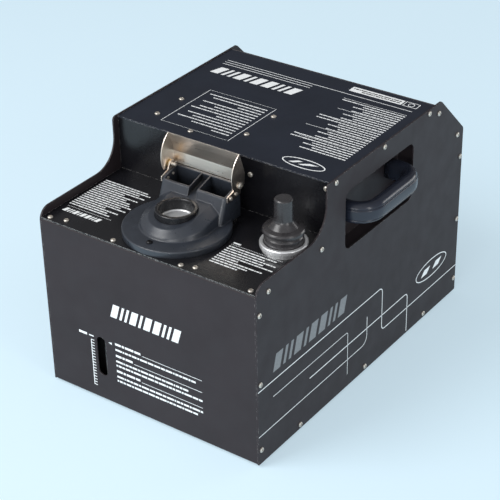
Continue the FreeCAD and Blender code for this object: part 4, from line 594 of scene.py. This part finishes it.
def print_ruler(page):
    """Level ruler beside the slot: ticks on a spine, marks over it and a pointer past the slot."""
    spine, lowest, pitch, ticks = -85.6, 16, 3.95, 17
    line, tick = 1.0, 4.0
    for i in range(ticks):
        z = lowest + pitch * i
        page.bar(spine, spine + tick, z, z + line)
    page.bar(spine - line, spine, lowest, lowest + pitch * (ticks - 1) + line)
    page.bar(-89, -82, 84.4, 86)
    page.bar(-104, -92, 83.6, 86.8)
    page.patch([(-60, 85), (-55, 83.4), (-55, 86.6)])


def print_front():
    """Title, level ruler and three paragraphs with headings on the front panel."""
    page = Print("front_marks", FRONT_FACE)
    page.title(-54, 52, 123, 141)
    print_ruler(page)
    left, right = -50, 74
    paragraphs = [(85, 0.30, (0.93,)), (69, 0.2, (0.85, 1.0)), (47.5, 0.28, (1.0, 0.94))]
    for z_first, heading, fills in paragraphs:
        heading_end = left + (right - left) * heading
        page.row(left, heading_end, z_first, 3.0, 2)
        page.bar(heading_end + 2, right, z_first - 0.6, z_first)
        page.rows(left, right, z_first - 7.4, -6.0, 2.5, fills, 4)
    page.finish()


# Pinstripes of a side plate: places (back from the front, up), line width, length of the bends.
SIDE_STRIPES = [
    ([(0.3, 98.5), (257.3, 98.5), (257.3, 37), (439.5, 37)], 1.2, 8),
    ([(29, 77), (181, 77), (181, 17)], 0.8, 4),
    ([(101, 58.6), (317.3, 58.6), (317.3, 2.5)], 1.3, 7),
    ([(0.3, 38), (223.5, 38), (223.5, 75)], 1.0, 13),
]


def print_side(side, place, across):
    """Grey title, white pinstripes and oval of one side plate; across turns back into face x."""
    title = Print(f"side_title_{side}", place, "grey_ink")
    title.title(*sorted((across(29), across(184))), 109, 130.5)
    title.finish()
    page = Print(f"side_stripes_{side}", place)
    for points, line, bend in SIDE_STRIPES:
        page.stripe([(across(y), z) for y, z in points], line, bend)
    page.ring(across(375), 66, 38, 1.4, 0.34)
    for y_low, y_high in ((350, 372), (378, 400)):
        low, high = sorted((across(y_low), across(y_high)))
        page.patch([(low, 62), (high - 8, 62), (high, 70), (low + 8, 70)])
    page.finish()


def print_hood():
    """Four angle dots on the outer face of the hood's right cheek."""
    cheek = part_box("deflector_hood")[1].x / MM
    cheek_face = face(at(cheek, 0, 0), (0, 1, 0), (0, 0, 1))
    page = Print("hood_dots", cheek_face, "black_gloss_plastic", body="deflector")
    for i in range(4):
        y, z = 108.2 + 0.4 * i, 267.6 + 2.5 * i
        page.bar(y, y + 0.9, z, z + 0.9)
    page.finish()


# ---------------------------------------------------------------- moulded grips


GRIP_LOW, GRIP_HIGH = (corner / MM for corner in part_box("handle_right"))
GRIP_ROOT_X, GRIP_OUTER_X = GRIP_LOW.x, GRIP_HIGH.x
GRIP_MIDDLE = (GRIP_LOW.y + GRIP_HIGH.y) / 2 - FRONT_Y
GRIP_HALF_LENGTH = (GRIP_HIGH.y - GRIP_LOW.y) / 2
GRIP_MIDDLE_Z = (GRIP_LOW.z + GRIP_HIGH.z) / 2 - LOWER_Z
GRIP_HEIGHT = GRIP_HIGH.z - GRIP_LOW.z
GRIP_THICKNESS = 18.5
# Radius of the bends, at the outside and at the middle line.
GRIP_CORNER = 33.0
GRIP_BEND = GRIP_CORNER - GRIP_THICKNESS / 2
# Powers that turn the section from an ellipse (1) towards a rectangle, across and up.
GRIP_SQUARE_ACROSS, GRIP_SQUARE_UP = 0.85, 0.80
# Two fine grooves along the outside, by height above the middle.
GROOVE_HEIGHTS = (6.6, -7.2)
GROOVE_WIDTH, GROOVE_DEPTH = 0.7, 1.0
# Points round the section, and straight pieces of each bend.
OUTLINE_STEPS, GRIP_BEND_STEPS = 240, 14


def grip_outline():
    """Cross-section of the grip as (outward, up): a rounded slab with two fine grooves."""
    points = []
    for i in range(OUTLINE_STEPS):
        turn = 2 * math.pi * i / OUTLINE_STEPS
        c, s = math.cos(turn), math.sin(turn)
        outward = GRIP_THICKNESS / 2 * math.copysign(abs(c) ** GRIP_SQUARE_ACROSS, c)
        z = GRIP_HEIGHT / 2 * math.copysign(abs(s) ** GRIP_SQUARE_UP, s)
        if outward > 0:
            dip = max(math.exp(-((z - height) / GROOVE_WIDTH) ** 2) for height in GROOVE_HEIGHTS)
            outward -= GROOVE_DEPTH * dip
        points.append((outward, z))
    return points


def grip_path():
    """Middle line of the grip as (x, y, outward direction): leg, bend, bar, bend, leg."""
    centre_x = GRIP_OUTER_X - GRIP_THICKNESS / 2
    leg_y = GRIP_HALF_LENGTH - GRIP_THICKNESS / 2
    arc_x, arc_y = centre_x - GRIP_BEND, leg_y - GRIP_BEND
    half = [(GRIP_ROOT_X, -leg_y, 0.0, -1.0), (arc_x - 4, -leg_y, 0.0, -1.0)]
    for i in range(GRIP_BEND_STEPS + 1):
        turn = math.pi / 2 * i / GRIP_BEND_STEPS
        out_x, out_y = math.sin(turn), -math.cos(turn)
        half.append((arc_x + GRIP_BEND * out_x, -arc_y + GRIP_BEND * out_y, out_x, out_y))
    half += [(centre_x, -arc_y * k / 4, 1.0, 0.0) for k in (3, 2, 1)]
    back = [(x, -y, out_x, -out_y) for x, y, out_x, out_y in half[::-1]]
    return half + [(centre_x, 0.0, 1.0, 0.0)] + back


def make_grip(side, way):
    """The moulded grip of one side, which stands for its CAD node; way is 1 right, -1 left."""
    mesh = bmesh.new()
    outline = grip_outline()
    rings = []
    for x, y, out_x, out_y in grip_path():
        ring = []
        for n, z in outline:
            place = at(way * (x + n * out_x), GRIP_MIDDLE + y + n * out_y, GRIP_MIDDLE_Z + z)
            ring.append(mesh.verts.new(place))
        rings.append(ring)
    count = len(outline)
    for first, second in zip(rings, rings[1:]):
        for i in range(count):
            j = (i + 1) % count
            mesh.faces.new((first[i], first[j], second[j], second[i]))
    mesh.faces.new(rings[0])
    mesh.faces.new(rings[-1][::-1])
    bmesh.ops.recalc_face_normals(mesh, faces=mesh.faces)
    data = bpy.data.meshes.new(f"grip_{side}")
    mesh.to_mesh(data)
    mesh.free()
    # The two end caps stay flat.
    for polygon in data.polygons:
        polygon.use_smooth = len(polygon.vertices) == 4
    data.materials.append(MATERIALS["grip_plastic"])
    grip = add_object(f"grip_{side}", data)
    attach(grip, "casing")
    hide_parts(f"handle_{side}")


# ---------------------------------------------------------------- studio, in metres


PALE_BLUE = (0.66, 0.83, 0.93)
NEAR_WHITE = (0.97, 0.98, 1.0)
FLOOR_HALF = 6
# The floor shows part of its colour by the lights and part by its own glow, so shadows stay soft.
FLOOR_SHARE, FLOOR_GLOW = 0.6, 0.52
# Strength of the surroundings in front of the machine and behind it.
WORLD_FRONT, WORLD_REAR = 0.85, 0.22


def add_area_light(name, place, aim, size, power):
    """A soft rectangular light aimed at a point."""
    data = bpy.data.lights.new(name, "AREA")
    data.shape = "RECTANGLE"
    data.size, data.size_y = size
    data.energy = power
    lamp = add_object(name, data)
    lamp.location = place
    lamp.rotation_mode = "QUATERNION"
    lamp.rotation_quaternion = (Vector(aim) - Vector(place)).to_track_quat("-Z", "Y")


def make_floor():
    """Pale floor under the machine."""
    surface = Surface("studio_floor", [FLOOR_SHARE * c for c in PALE_BLUE], 0.9, specular=0.1)
    surface.vary_colour(900, 0.01)
    surface.shader.inputs["Emission Color"].default_value = (*PALE_BLUE, 1.0)
    surface.shader.inputs["Emission Strength"].default_value = FLOOR_GLOW
    data = bpy.data.meshes.new("studio_floor")
    turns = ((-1, -1), (1, -1), (1, 1), (-1, 1))
    data.from_pydata([(FLOOR_HALF * x, FLOOR_HALF * y, 0) for x, y in turns], [], [(0, 1, 2, 3)])
    data.materials.append(surface.material)
    add_object("studio_floor", data)


def make_world():
    """Pale surroundings, brighter in front of the machine than behind it."""
    world = bpy.data.worlds.new("studio")
    bpy.context.scene.world = world
    world.use_nodes = True
    nodes, links = world.node_tree.nodes, world.node_tree.links
    background = nodes["Background"]
    background.inputs["Color"].default_value = (*NEAR_WHITE, 1.0)
    place = nodes.new("ShaderNodeTexCoord")
    split = nodes.new("ShaderNodeSeparateXYZ")
    span = nodes.new("ShaderNodeMapRange")
    span.inputs["From Min"].default_value = -0.9
    span.inputs["From Max"].default_value = 0.6
    span.inputs["To Min"].default_value = WORLD_FRONT
    span.inputs["To Max"].default_value = WORLD_REAR
    links.new(place.outputs["Generated"], split.inputs["Vector"])
    links.new(split.outputs["Y"], span.inputs["Value"])
    links.new(span.outputs["Result"], background.inputs["Strength"])


def make_lights():
    """Soft lights: one high in front, one low in front, one to the right, one behind."""
    add_area_light("key", (-0.9, -1.5, 1.9), (0, 0, 0.15), (1.3, 1.3), 34)
    add_area_light("front", (0.5, -2.05, 0.75), (0.17, 0, 0.23), (0.9, 0.36), 8)
    add_area_light("right", (2.1, -0.7, 0.9), (0.1, 0, 0.15), (0.5, 1.6), 9)
    add_area_light("rear", (1.3, 1.9, 0.7), (0, 0, 0.2), (1.2, 0.6), 9)


# ---------------------------------------------------------------- camera


# Width of the sensor and focal length, then the angles in degrees.
CAMERA_SENSOR, CAMERA_LENS = 36, 115.076
CAMERA_AZIMUTH, CAMERA_ELEVATION, CAMERA_ROLL = 36.05, 31.11, -1.19
# Place of the camera from a point inside the casing: towards its own right, up and back.
CAMERA_FROM = (0, 200, 100)
CAMERA_OFFSET = (-2.09, 24.4, 1933.71)


def make_camera():
    """The camera that sees the machine as the photograph does."""
    azimuth, elevation, roll = map(math.radians, (CAMERA_AZIMUTH, CAMERA_ELEVATION, CAMERA_ROLL))
    level = Vector((math.cos(azimuth), math.sin(azimuth), 0))
    ahead = Vector((-math.sin(azimuth), math.cos(azimuth), 0))
    back = Vector((0, 0, math.sin(elevation))) - ahead * math.cos(elevation)
    rise = back.cross(level)
    right = level * math.cos(roll) + rise * math.sin(roll)
    up = rise * math.cos(roll) - level * math.sin(roll)
    to_right, to_up, to_back = CAMERA_OFFSET
    place = at(*CAMERA_FROM) + (right * to_right + up * to_up + back * to_back) * MM
    turn = Matrix((right, up, back)).transposed().to_4x4()
    data = bpy.data.cameras.new("camera")
    data.sensor_width = CAMERA_SENSOR
    data.lens = CAMERA_LENS
    data.clip_start, data.clip_end = 0.05, 50
    camera = add_object("camera", data)
    camera.matrix_world = Matrix.Translation(place) @ turn
    bpy.context.scene.camera = camera


# ---------------------------------------------------------------- the scene


dress_cad_nodes()
make_grip("right", 1)
make_grip("left", -1)
print_top_cover()
print_deck()
print_front()
print_side("right", RIGHT_FACE, lambda y: y)
print_side("left", LEFT_FACE, lambda y: CASING_DEPTH - y)
print_hood()
bpy.context.scene.view_settings.view_transform = "Standard"
make_floor()
make_world()
make_lights()
make_camera()
